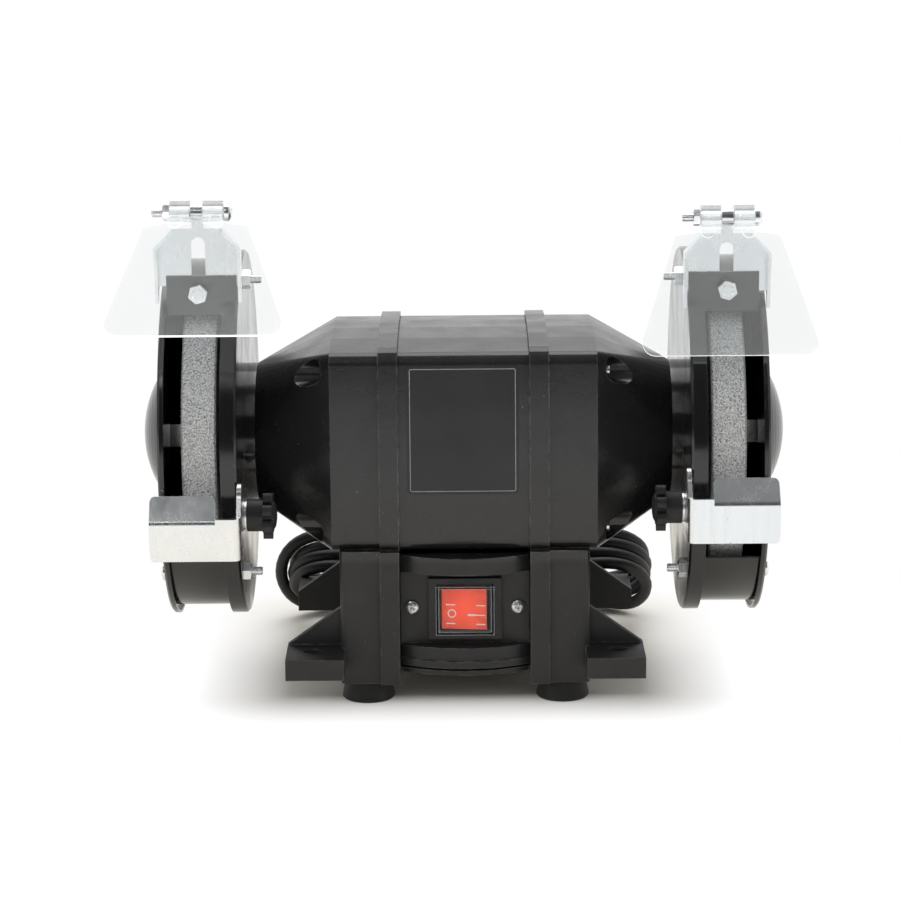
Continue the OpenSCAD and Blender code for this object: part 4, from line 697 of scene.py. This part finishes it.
def cross_head(head_r, head_h, arm):
    """Rings of a domed pan head, from its seat up and down into its cross recess."""
    cross = cross_radius(arm)

    def dome(r):
        return head_h * (1 - 0.45 * (r / head_r) ** 2.4)

    def blend(t):
        return lambda angle: head_r * (1 - t) + cross(angle) * t

    rings = [(head_r * 0.97, 0), (head_r, head_h * 0.12), (head_r, head_h * 0.42)]
    for t in (0.04, 0.16, 0.36, 0.62, 0.86, 1.0):
        rings.append((blend(t), lambda angle, t=t: dome(blend(t)(angle))))
    return rings + [
        (lambda angle: cross(angle) * 0.93, lambda angle: dome(cross(angle)) - 0.12),
        (lambda angle: cross(angle) * 0.72, head_h * 0.42),
        (lambda angle: cross(angle) * 0.30, head_h * 0.24),
        (0, head_h * 0.18),
    ]


def hexagon(across):
    def radius(angle):
        return across / 2 / math.cos((angle + TURN / 12) % (TURN / 6) - TURN / 12)
    return radius


def hex_rings(across, height, hole_r=0.0, both_ends=False):
    """Rings of a chamfered hexagon, with a hole through it or a shallow dimple on top."""
    flat = hexagon(across)
    edge = across / 2 * 0.97

    def top(angle):
        return height - (flat(angle) - edge) * CHAMFER_SLOPE

    def foot(angle):
        return (flat(angle) - edge) * CHAMFER_SLOPE if both_ends else 0.0

    rings = [(edge, 0), (flat, foot), (flat, top), (edge, height)]
    if hole_r:
        return [(hole_r, 0)] + rings + [(hole_r * 1.12, height), (hole_r, height - 0.4), (hole_r, 0)]
    return rings + [(edge * 0.72, height), (edge * 0.62, height - 0.35), (0, height - 0.45)]


def thread_rings(diameter, length, pitch):
    """Rings of a screw thread: the radius rises and falls along a helix."""
    def radius(height):
        def at_angle(angle):
            wave = abs(((height / pitch - angle / TURN) % 1) * 2 - 1)
            fade = min(1, (length - height) / pitch)
            return diameter / 2 - pitch * 0.5 * wave - 0.25 * (1 - fade)
        return at_angle
    rows = int(length / pitch * ROWS_PER_TURN)
    heights = [length * k / rows for k in range(rows + 1)]
    return [(0, 0)] + [(radius(h), h) for h in heights] + [(0, length)]


# %% [markdown]
# ## Screws through the wheel guards
# Three long screws hold each cover to its guard. Their pan heads bear on the cover, and their
# threaded tails stand out of the chamfered nuts on the guard's inner wall, where they can be seen
# from beside the housing.

# %% Guard screws and nuts
SHAFT_H = round(SHAFT_Z / MM, 3)
GUARD_SCREW_R = 79
GUARD_SCREW_ANGLES = (14, 134, 254)
GUARD_SCREW_D, GUARD_PITCH, GUARD_ARM = 4.2, 0.7, 2.0
COVER_FACE, GUARD_WALL, NUT_FACE, TAIL_END = 139.4, 103.5, 99.5, 94.5
screws, nuts = Rings(), Rings()
for side in (-1, 1):
    outward, inward = (side, 0, 0), (-side, 0, 0)
    for count, degrees in enumerate(GUARD_SCREW_ANGLES):
        a = math.radians(degrees)
        y, z = -GUARD_SCREW_R * math.sin(a), SHAFT_H + GUARD_SCREW_R * math.cos(a)
        seat, wall, nut_face = [(side * x, y, z) for x in (COVER_FACE, GUARD_WALL, NUT_FACE)]
        spin = 0.5 + 1.3 * count + side
        screws.stack(cross_head(4.2, 2.6, GUARD_ARM), seat, outward, cross_angles(GUARD_ARM), spin)
        screws.stack([(2.1, 0), (2.1, COVER_FACE - NUT_FACE)], seat, inward, 20)
        tail = thread_rings(GUARD_SCREW_D, NUT_FACE - TAIL_END, GUARD_PITCH)
        screws.stack(tail, nut_face, inward, 24)
        nuts.stack(hex_rings(8, GUARD_WALL - NUT_FACE, 2.2), wall, inward, 36, spin)
screws.piece("guard_screw_set", "zinc_plate", "machine", "guard_screws")
nuts.piece("guard_nut_set", "zinc_plate", "machine", "guard_nuts")

# %% [markdown]
# ## Screws of the front and rear panels
# Two small screws hold each panel, in its recess, beside the switch and beside the cord's exit.

# %% Panel screws
PANEL_SCREW_X, PANEL_SCREW_Y, PANEL_SCREW_Z = 25, 51.5, 45.6
PANEL_ARM = 1.75
screws = Rings()
for toward in (-1, 1):
    for side in (-1, 1):
        place = (side * PANEL_SCREW_X, toward * PANEL_SCREW_Y, PANEL_SCREW_Z)
        spin = 0.35 * side + 0.2 * toward
        screws.stack(cross_head(3.2, 2.2, PANEL_ARM), place, (0, toward, 0), cross_angles(PANEL_ARM), spin)
        screws.stack([(1.75, 0), (1.75, 6.9), (1.2, 7.5)], place, (0, -toward, 0), 20)
screws.piece("panel_screw_set", "zinc_plate", "machine", "panel_screws")

# %% [markdown]
# ## Bolts of the brackets
# A small hexagon bolt clamps each bracket to its guard's flange. Its head stands in front, with the
# shallow dimple that cold heading leaves, and a washer and nut hold it behind.

# %% Flange bolts
FLANGE_BOLT_X, FLANGE_BOLT_Z = 121.5, 195.6
HEAD_Y, THREAD_Y, WASHER_Y, NUT_Y = -53.95, -49.45, -46.95, -45.95
FRONT, REAR = (0, -1, 0), (0, 1, 0)
washer = [(2.6, 0), (4.5, 0), (4.5, 1), (2.6, 1), (2.6, 0)]
bolts, nuts = Rings(), Rings()
for side in (-1, 1):
    x, z = side * FLANGE_BOLT_X, FLANGE_BOLT_Z
    head, thread, seat, nut = [(x, y, z) for y in (HEAD_Y, THREAD_Y, WASHER_Y, NUT_Y)]
    bolts.stack(hex_rings(8, 3.5), head, FRONT, 36, 0.25 * side)
    bolts.stack([(2.5, 0), (2.5, THREAD_Y - HEAD_Y)], head, REAR, 24)
    bolts.stack(thread_rings(5, 7.55, 0.8), thread, REAR, 24)
    nuts.stack(washer, seat, REAR, 36)
    nuts.stack(hex_rings(8, 3, 2.6, True), nut, REAR, 36, 0.4)
bolts.piece("flange_bolt_set", "zinc_plate", "machine", "flange_bolts")
nuts.piece("flange_nut_set", "zinc_plate", "machine", "flange_nuts")

# %% [markdown]
# ## Hinge bolts of the eye shields
# One long machine screw runs through each hinge. Its thread is seen through the clear knuckles, so
# it is modelled. A domed head ends the screw on one side and a nut on the other.

# %% Hinge bolts
HINGE_SEAT, HINGE_PLAIN, HINGE_THREAD = 12.4, 6.8, 27.4
HINGE_ARM = 2.0
LEFTWARD, RIGHTWARD = (-1, 0, 0), (1, 0, 0)
for side, sign in (("left", -1), ("right", 1)):
    x = sign * FLANGE_BOLT_X
    steps = (HINGE_SEAT, HINGE_SEAT + 0.4, HINGE_PLAIN, -HINGE_SEAT)
    head, plain, thread, nut = [(x + step, *HINGE_PLACES[side]) for step in steps]
    bolt = Rings()
    bolt.stack(cross_head(4, 4, HINGE_ARM), head, RIGHTWARD, cross_angles(HINGE_ARM), 0.4)
    bolt.stack([(2, 0), (2, 6)], plain, LEFTWARD, 20)
    bolt.stack(thread_rings(4, HINGE_THREAD, 0.7), thread, LEFTWARD, 20)
    bolt.stack(hex_rings(7, 3.2, 2.05, True), nut, LEFTWARD, 36, 0.3)
    bolt.piece(side + "_hinge_screw", "zinc_plate", side + "_bracket", side + "_hinge_bolt")

# %% [markdown]
# ## Strain relief
# Where the lead leaves the machine, a tapered rubber sleeve makes it bend gently. Moulded grooves
# between its ribs let it flex, so they are cut in the form and not only shaded.

# %% Strain relief
RELIEF_START, RELIEF_END, RIBS = 54.5, 75.5, 7
EXIT_Z = 52
neck = [
    (0, 46), (6.2, 46), (6.5, 46.4), (6.5, 49), (4.5, 49.2), (4.5, 51.5), (6.5, 51.6), (6.7, 52.2),
    (6.5, RELIEF_START),
]
pitch = (RELIEF_END - RELIEF_START - 1.5) / RIBS
profile = list(neck)
for rib in range(RIBS):
    start = RELIEF_START + 0.6 + rib * pitch
    outer = 6.1 - 1.75 * rib / RIBS
    inner = outer - 1.0
    profile += [(inner, start), (inner, start + 0.9)]
    profile += [(outer, start + 1.05), (outer - 0.12, start + pitch - 0.15)]
profile += [(4.1, RELIEF_END - 0.4), (3.7, RELIEF_END), (3.15, RELIEF_END), (0, RELIEF_END - 1)]
relief = Rings()
relief.stack(profile, (0, 0, EXIT_Z), REAR, 40)
relief.piece("strain_relief", "black_rubber", "machine", "cord_gland", 40)

# %% [markdown]
# ## The mains plug
# A round earthed plug is moulded in rubber round its pins. Ridges on its neck and flutes round its
# rim give a grip. The pins are plated steel with rounded ends.

# %% Plug
PLUG_START, PLUG_Y, PLUG_Z = 28, 137, 18
PIN_FOOT, PIN_SPACING = 47.5, 19
FLUTES, FLUTE_DEPTH, GRIP_R = 24, 0.7, 17.8


def fluted(radius, depth):
    return lambda angle: radius - depth * (0.5 + 0.5 * math.cos(FLUTES * angle)) ** 3


body_rings = [(0, 0), (3.6, 0), (4.1, 0.6)]
for rib in range(4):
    start = 1.6 + 3.0 * rib
    r = 4.3 + 0.5 * rib
    body_rings += [(r, start), (r + 0.75, start + 0.4), (r + 0.85, start + 1.7), (r + 0.2, start + 2.2)]
body_rings += [
    (6.5, 14), (8.6, 15.6), (9.3, 17.2), (10.3, 20), (12.0, 24), (14.4, 27.4), (16.4, 29.6), (17.3, 31),
    (17.7, 32), (fluted(GRIP_R, FLUTE_DEPTH), 33.2), (fluted(GRIP_R, FLUTE_DEPTH), 45.4), (17.6, 46.6),
    (17.2, 47.6), (16.6, 48), (13.5, 48), (13.2, 47.4), (0, 47.4),
]
plug = Rings()
plug.stack(body_rings, (PLUG_START, PLUG_Y, PLUG_Z), LEFTWARD, 6 * FLUTES)
plug = plug.piece("plug_body", "black_rubber", "machine", "mains_plug", 40)
pins = Rings()
pin = [(2.4, 0), (2.4, 17.6), (2.25, 18.6), (1.7, 19.3), (0.8, 19.5), (0, 19.5)]
for offset in (-PIN_SPACING / 2, PIN_SPACING / 2):
    pins.stack(pin, (PLUG_START - PIN_FOOT, PLUG_Y + offset, PLUG_Z), LEFTWARD, 28)
pins = pins.piece("plug_pins", "zinc_plate", "machine")

# %% [markdown]
# ## The lead as a piece
# A curve with a round bevel keeps the lead's true length and thickness and takes few points.

# %% Lead
curve = bpy.data.curves.new("mains_lead", "CURVE")
curve.dimensions = "3D"
curve.bevel_depth = LEAD_D / 2 * MM
curve.bevel_resolution = 4
curve.resolution_u = 2
curve.use_fill_caps = True
spline = curve.splines.new("POLY")
spline.points.add(len(lead_line) - 1)
for point, place in zip(spline.points, lead_line):
    point.co = (*at(place), 1)
spline.use_smooth = True
lead = new_object("mains_lead", curve, finish["black_rubber"], "machine")
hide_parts("power_cord", "cord_hank")
print("the lead takes", len(spline.points), "points")

# %% [markdown]
# ## The tie round the hank
# A flat plastic tie is wound round the gathered runs and its two tails are twisted together. The
# band is the tight outline of the bundle: for each direction, the outermost run's own edge.

# %% Band of the tie
TIE_W, TIE_T, TIE_GAP = 5.0, 0.8, 0.15
BAND_STEPS = 72
bundle = UPPER_SEATS + LOWER_SEATS


def band_point(angle, radius):
    reach = [s[0] * math.cos(angle) + s[1] * math.sin(angle) for s in bundle]
    seat = bundle[reach.index(max(reach))]
    return seat[0] + radius * math.cos(angle), seat[1] + radius * math.sin(angle)


tie_points = []
for k in range(BAND_STEPS):
    angle = TURN * k / BAND_STEPS
    near = band_point(angle, LEAD_D / 2 + TIE_GAP)
    out = band_point(angle, LEAD_D / 2 + TIE_GAP + TIE_T)
    for along, spot in ((-TIE_W / 2, near), (TIE_W / 2, near), (TIE_W / 2, out), (-TIE_W / 2, out)):
        tie_points.append(tuple(in_hank(along, *spot)))
count = len(tie_points)
tie_faces = [tuple(v % count for v in face) for face in skin(0, BAND_STEPS + 1, 4)]
print("the band has", len(tie_faces), "faces")

# %% Twisted tails of the tie
TAIL_L, TAIL_R, TAIL_TURNS, WIRE_R = 24.0, 1.0, 4, 0.8
TAIL_ROWS, TAIL_SIDES = 60, 8
ALONG = np.array([1, 0, 0])
out_place = in_hank(0, *band_point(math.radians(60), LEAD_D / 2 + TIE_T))
out_dir = 0.75 * HANK_ACROSS + 0.6 * HANK_THROUGH
out_dir = out_dir / np.linalg.norm(out_dir)
flank = np.cross(out_dir, ALONG)


def around(angle):
    """A unit step away from a tail's middle line, at an angle round it."""
    return math.cos(angle) * ALONG + math.sin(angle) * flank


for phase in (0.0, math.pi):
    first = len(tie_points)
    for row in range(TAIL_ROWS + 1):
        t = row / TAIL_ROWS
        opening = 1.0 + 1.6 * max(0, t - 0.85) / 0.15
        middle = out_place + out_dir * TAIL_L * t * 0.9 + 8 * t * t * ALONG
        middle = middle + TAIL_R * opening * around(phase + TAIL_TURNS * TURN * t)
        for c in range(TAIL_SIDES):
            tie_points.append(tuple(middle + WIRE_R * around(TURN * c / TAIL_SIDES)))
    tie_faces += skin(first, TAIL_ROWS + 1, TAIL_SIDES)
    for start in (first, first + TAIL_SIDES * TAIL_ROWS):
        tie_faces.append(tuple(start + c for c in range(TAIL_SIDES)))
tie_mesh = mesh_from("lead_tie", tie_points, tie_faces, 40)
tie = new_object("lead_tie", tie_mesh, finish["black_plastic"], "machine")
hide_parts("cord_tie")
print("the tie has", len(tie_mesh.polygons), "faces")

# %% [markdown]
# ## The bare label plate
# A satin sheet is stuck on the bulged front of the motor's shell. It bears no print here, only its
# thin printed border. Each of its points is dropped onto the shell along the front direction, so
# the sheet follows the casting's own curve.

# %% A way to lay a sheet on a node
from mathutils.bvhtree import BVHTree

RAY_START_Y = -150
NUDGES = (0, 0.003, -0.003, 0.011, -0.011, 0.05)


def surface_of(node_name):
    mesh = nodes[node_name].data
    return BVHTree.FromPolygons([v.co for v in mesh.vertices], [tuple(p.vertices) for p in mesh.polygons])


def front_of(tree, x, z, proud):
    """The point of a surface met from the front at x and z, moved out by a little.

    A ray that runs exactly along a mesh edge can miss, so it is tried again a few microns aside.
    """
    for nudge in NUDGES:
        spot = tree.ray_cast(at((x + nudge, RAY_START_Y, z + nudge)), Vector((0, 1, 0)))[0]
        if spot is not None:
            return (x, (spot.y - SHAFT_Y) / MM - proud, z)
    raise ValueError(f"nothing is met at {x:.2f}, {z:.2f}")


def laid_patch(tree, outline, proud, thick, rows=2):
    """A thin sheet with a given outline, as rings that shrink to a middle point."""
    count = len(outline)
    mid_x, mid_z = [sum(p[axis] for p in outline) / count for axis in (0, 1)]
    points = []
    scales = [1.0] + [1 - k / rows for k in range(rows)] + [0.0]
    for row, scale in enumerate(scales):
        lift = proud if row else proud - thick
        for x, z in outline:
            points.append(front_of(tree, mid_x + (x - mid_x) * scale, mid_z + (z - mid_z) * scale, lift))
    return points, skin(0, len(scales), count)


def laid_frame(tree, outer, inner, proud, thick=0.06):
    """A flat band between two outlines with the same number of points, laid on a surface."""
    count = len(outer)
    points = [front_of(tree, x, z, proud) for x, z in outer + inner]
    points += [front_of(tree, x, z, proud - thick) for x, z in outer + inner]
    faces = []
    for k in range(count):
        n = (k + 1) % count
        faces.append((k, n, n + count, k + count))
        faces.append((k, k + 2 * count, n + 2 * count, n))
        faces.append((k + count, n + count, n + 3 * count, k + 3 * count))
        faces.append((k + 2 * count, k + 3 * count, n + 3 * count, n + 2 * count))
    return points, faces


# %% Outlines with round corners
LONG_SIDE = 3


def round_rectangle(x0, x1, z0, z1, r, steps, side_steps):
    """The outline's points. A stretch longer than LONG_SIDE is cut into side_steps parts."""
    corners = ((x1 - r, z1 - r, 0), (x0 + r, z1 - r, 90), (x0 + r, z0 + r, 180), (x1 - r, z0 + r, 270))
    points = []
    for cx, cz, start in corners:
        for k in range(steps + 1):
            a = math.radians(start + 90 * k / steps)
            points.append((cx + r * math.cos(a), cz + r * math.sin(a)))
    fuller = []
    for (x, z), (next_x, next_z) in zip(points, points[1:] + points[:1]):
        parts = side_steps if math.dist((x, z), (next_x, next_z)) > LONG_SIDE else 1
        fuller += [(x + (next_x - x) * k / parts, z + (next_z - z) * k / parts) for k in range(parts)]
    return fuller


# %% Label sheet and its border
LABEL = (-26.4, 25.5, 101.0, 161.4)
LABEL_T, LABEL_CORNER, LABEL_ROWS = 0.3, 2.2, 10
BORDER_IN, BORDER_W, BORDER_LIFT = 1.3, 0.35, 0.38
shell_front = surface_of("motor_shell")


def label_outline(inset):
    x0, x1, z0, z1 = LABEL
    return round_rectangle(x0 + inset, x1 - inset, z0 + inset, z1 - inset, LABEL_CORNER - inset, 5, 14)


def ink(name, rough, blotch, dark, pale):
    """Matt printing ink: two near tones in blotches, and a fine grain."""
    f = Finish(name, pale, rough)
    f.colour(f.tint(f.spread(f.noise(blotch, 3), 0.3, 0.7), dark, pale))
    f.bump(f.noise(900, 2), 0.00002, 0.4)
    return f.material


f = Finish("label_sheet", (0.018, 0.018, 0.02), 0.42)
f.colour(f.tint(f.blotches(50, 3), (0.016, 0.016, 0.018), (0.022, 0.022, 0.024)))
f.rough(f.blotches(35, 3, 0.36, 0.46))
f.bump(f.noise(500, 2), 0.00003, 0.5)
points, faces = laid_patch(shell_front, label_outline(0), LABEL_T, LABEL_T, LABEL_ROWS)
label_mesh = mesh_from("label_sheet", points, faces, 50)
new_object("label_sheet", label_mesh, f.material, "machine")
outlines = [label_outline(inset) for inset in (BORDER_IN, BORDER_IN + BORDER_W)]
border_mesh = mesh_from("label_border", *laid_frame(shell_front, *outlines, BORDER_LIFT), 50)
border_ink = ink("border_ink", 0.5, 300, (0.24, 0.24, 0.25), (0.32, 0.32, 0.33))
new_object("label_border", border_mesh, border_ink, "machine")
print("label", round(LABEL[1] - LABEL[0], 1), "by", round(LABEL[3] - LABEL[2], 1), "mm")

# %% [markdown]
# ## Marks on the rocker
# The rocker bears the plain marks for off and on, a ring and a bar, with short strokes at its
# corners. They are thin raised ink, laid on the rocker's own face, and they ride on it.

# %% Rocker marks
RING_X, RING_Z, RING_R, INK_W = -6.2, 42.9, 2.0, 0.5
RING_STEPS, INK_LIFT = 40, 0.08
STROKES = [
    (-9.0, -4.6, 46.9, 47.4), (-9.0, -4.6, 37.8, 38.3), (5.2, 9.4, 46.8, 47.3),
    (5.2, 9.4, 37.7, 38.2), (1.2, 4.8, 41.9, 42.8), (4.8, 9.4, 42.1, 42.6),
]
rocker_face = surface_of("rocker")


def circle(radius):
    turns = [TURN * k / RING_STEPS for k in range(RING_STEPS)]
    return [(RING_X + radius * math.cos(a), RING_Z + radius * math.sin(a)) for a in turns]


marks = [laid_frame(rocker_face, circle(RING_R), circle(RING_R - INK_W), INK_LIFT)]
for x0, x1, z0, z1 in STROKES:
    marks.append(laid_patch(rocker_face, round_rectangle(x0, x1, z0, z1, 0.2, 3, 6), INK_LIFT, 0.06))
mark_points, mark_faces = [], []
for points, faces in marks:
    first = len(mark_points)
    mark_points += points
    mark_faces += [tuple(v + first for v in face) for face in faces]
marks_mesh = mesh_from("rocker_marks", mark_points, mark_faces, 50)
rocker_ink = ink("rocker_ink", 0.45, 400, (0.72, 0.70, 0.68), (0.85, 0.83, 0.82))
new_object("rocker_marks", marks_mesh, rocker_ink, "rocker")
print("rocker marks:", len(STROKES), "strokes and a ring")

# %% [markdown]
# ## Floor
# A plain pale floor runs to a white background. Near the base it is a plain surface that takes the
# machine's shadow. Further off, the camera and clear plastic see it pure white, whatever light falls
# on it. Gloss sees it turn white later, so that the black paint mirrors some darkness.

# %% Floor
FOOT_X, FOOT_Y, FOOT_MIDDLE = 0.082, 0.074, 0.040
FADE_START, FADE_END = 0.002, 0.046
GLOSS_START, GLOSS_END, GLOSS_LEAST = 0.14, 0.48, 0.05
HALF, FLOOR_Z = 4, -0.0002
floor_mesh = bpy.data.meshes.new("floor")
square = [(-HALF, -HALF, 0), (HALF, -HALF, 0), (HALF, HALF, 0), (-HALF, HALF, 0)]
floor_mesh.from_pydata(square, [], [(0, 1, 2, 3)])
floor = bpy.data.objects.new("floor", floor_mesh)
bpy.context.scene.collection.objects.link(floor)
floor.location.z = FLOOR_Z
print("the floor's plain part is", round(2000 * FOOT_X), "by", round(2000 * FOOT_Y), "mm")


# %% The floor's finish
def beyond(f, axis, middle, half):
    """How far a place lies outside a half width round a middle, measured along one axis."""
    size = f.maths("ABSOLUTE", f.maths("SUBTRACT", axis, middle))
    return f.maths("SUBTRACT", size, half, use_clamp=True)


f = Finish("floor", (0.91, 0.87, 0.79), 0.7)
axes = f.axes(f.place)
outside = (beyond(f, axes["X"], 0, FOOT_X), beyond(f, axes["Y"], FOOT_MIDDLE, FOOT_Y))
distance = f.vector("LENGTH", f.add("ShaderNodeCombineXYZ", outside).outputs[0])
path = f.add("ShaderNodeLightPath").outputs
seen = f.both(path["Is Camera Ray"], path["Is Transmission Ray"], "MAXIMUM")
white_seen = f.both(f.spread(distance, FADE_START, FADE_END), seen)
white_in_gloss = f.both(
    f.spread(distance, GLOSS_START, GLOSS_END, GLOSS_LEAST, 1.0, "SMOOTHSTEP"), path["Is Glossy Ray"])
white = f.both(white_seen, white_in_gloss, "MAXIMUM")
shaders = (f.shader.outputs[0], f.add("ShaderNodeEmission").outputs[0])
mix = f.add("ShaderNodeMixShader", (white, *shaders))
f.feed(mix.outputs[0], f.tree.nodes["Material Output"], "Surface")
floor_mesh.materials.append(f.material)
print("the floor's finish takes", len(f.tree.nodes), "nodes")

# %% [markdown]
# ## The room
# The camera and the clear plastic see a white room. Gloss sees it white behind the machine and dim
# in front of it and overhead, as in a studio with one lit backdrop, which gives black paint its
# depth. All other light from the room is even and soft.

# %% World
ROOM_LIGHT, DIM_FRONT, ABOVE = 0.70, 0.06, 0.19
world = bpy.data.worlds.new("studio")
bpy.context.scene.world = world
world.use_nodes = True
room = Graph(world.node_tree)
back = room.tree.nodes["Background"]
room.feed((1, 1, 1, 1), back, "Color")
path = room.add("ShaderNodeLightPath").outputs
toward = room.axes(room.add("ShaderNodeTexCoord").outputs["Generated"])
behind = room.spread(toward["Y"], -0.1, 0.6, DIM_FRONT, 1.0, "SMOOTHSTEP")
above = room.spread(toward["Z"], 0.35, 1.0, 0.0, ABOVE, "SMOOTHSTEP")
in_gloss = room.both(behind, above, "MAXIMUM")
gloss = room.add("ShaderNodeMix", {0: path["Is Glossy Ray"], 2: ROOM_LIGHT, 3: in_gloss})
shown = room.both(path["Is Camera Ray"], path["Is Transmission Ray"], "MAXIMUM")
room.feed(room.both(shown, gloss.outputs[0], "MAXIMUM"), back, "Strength")
print("the room's own light is", ROOM_LIGHT)

# %% [markdown]
# ## Lamps
# Four soft boxes light the machine: one overhead, one at each side, and a narrow one in front that
# draws thin highlights on the plating. An area lamp's power grows with its size, so each is set by
# the brightness of its face.

# %% Lamps
LAMP_AIM = Vector((0, 0, 0.1))


def lamp(name, place, size, glow):
    """A soft box aimed at the machine. Glow is the brightness of its face."""
    data = bpy.data.lights.new(name, "AREA")
    data.shape = "RECTANGLE"
    data.size, data.size_y = size
    data.energy = glow * math.pi * size[0] * size[1]
    light = bpy.data.objects.new(name, data)
    bpy.context.scene.collection.objects.link(light)
    light.location = place
    light.rotation_euler = (LAMP_AIM - Vector(place)).to_track_quat("-Z", "Y").to_euler()
    print(name, "has", round(data.energy, 1), "watts")


lamp("overhead_softbox", (0.0, 0.55, 1.5), (1.6, 1.0), 2.0)
lamp("left_softbox", (-1.5, -0.8, 0.9), (0.8, 1.1), 1.9)
lamp("right_softbox", (1.5, -0.6, 0.9), (0.8, 1.1), 1.9)
lamp("front_strip", (-0.5, -1.2, 1.3), (0.5, 0.2), 3.0)
bpy.context.scene.view_settings.view_transform = "Standard"
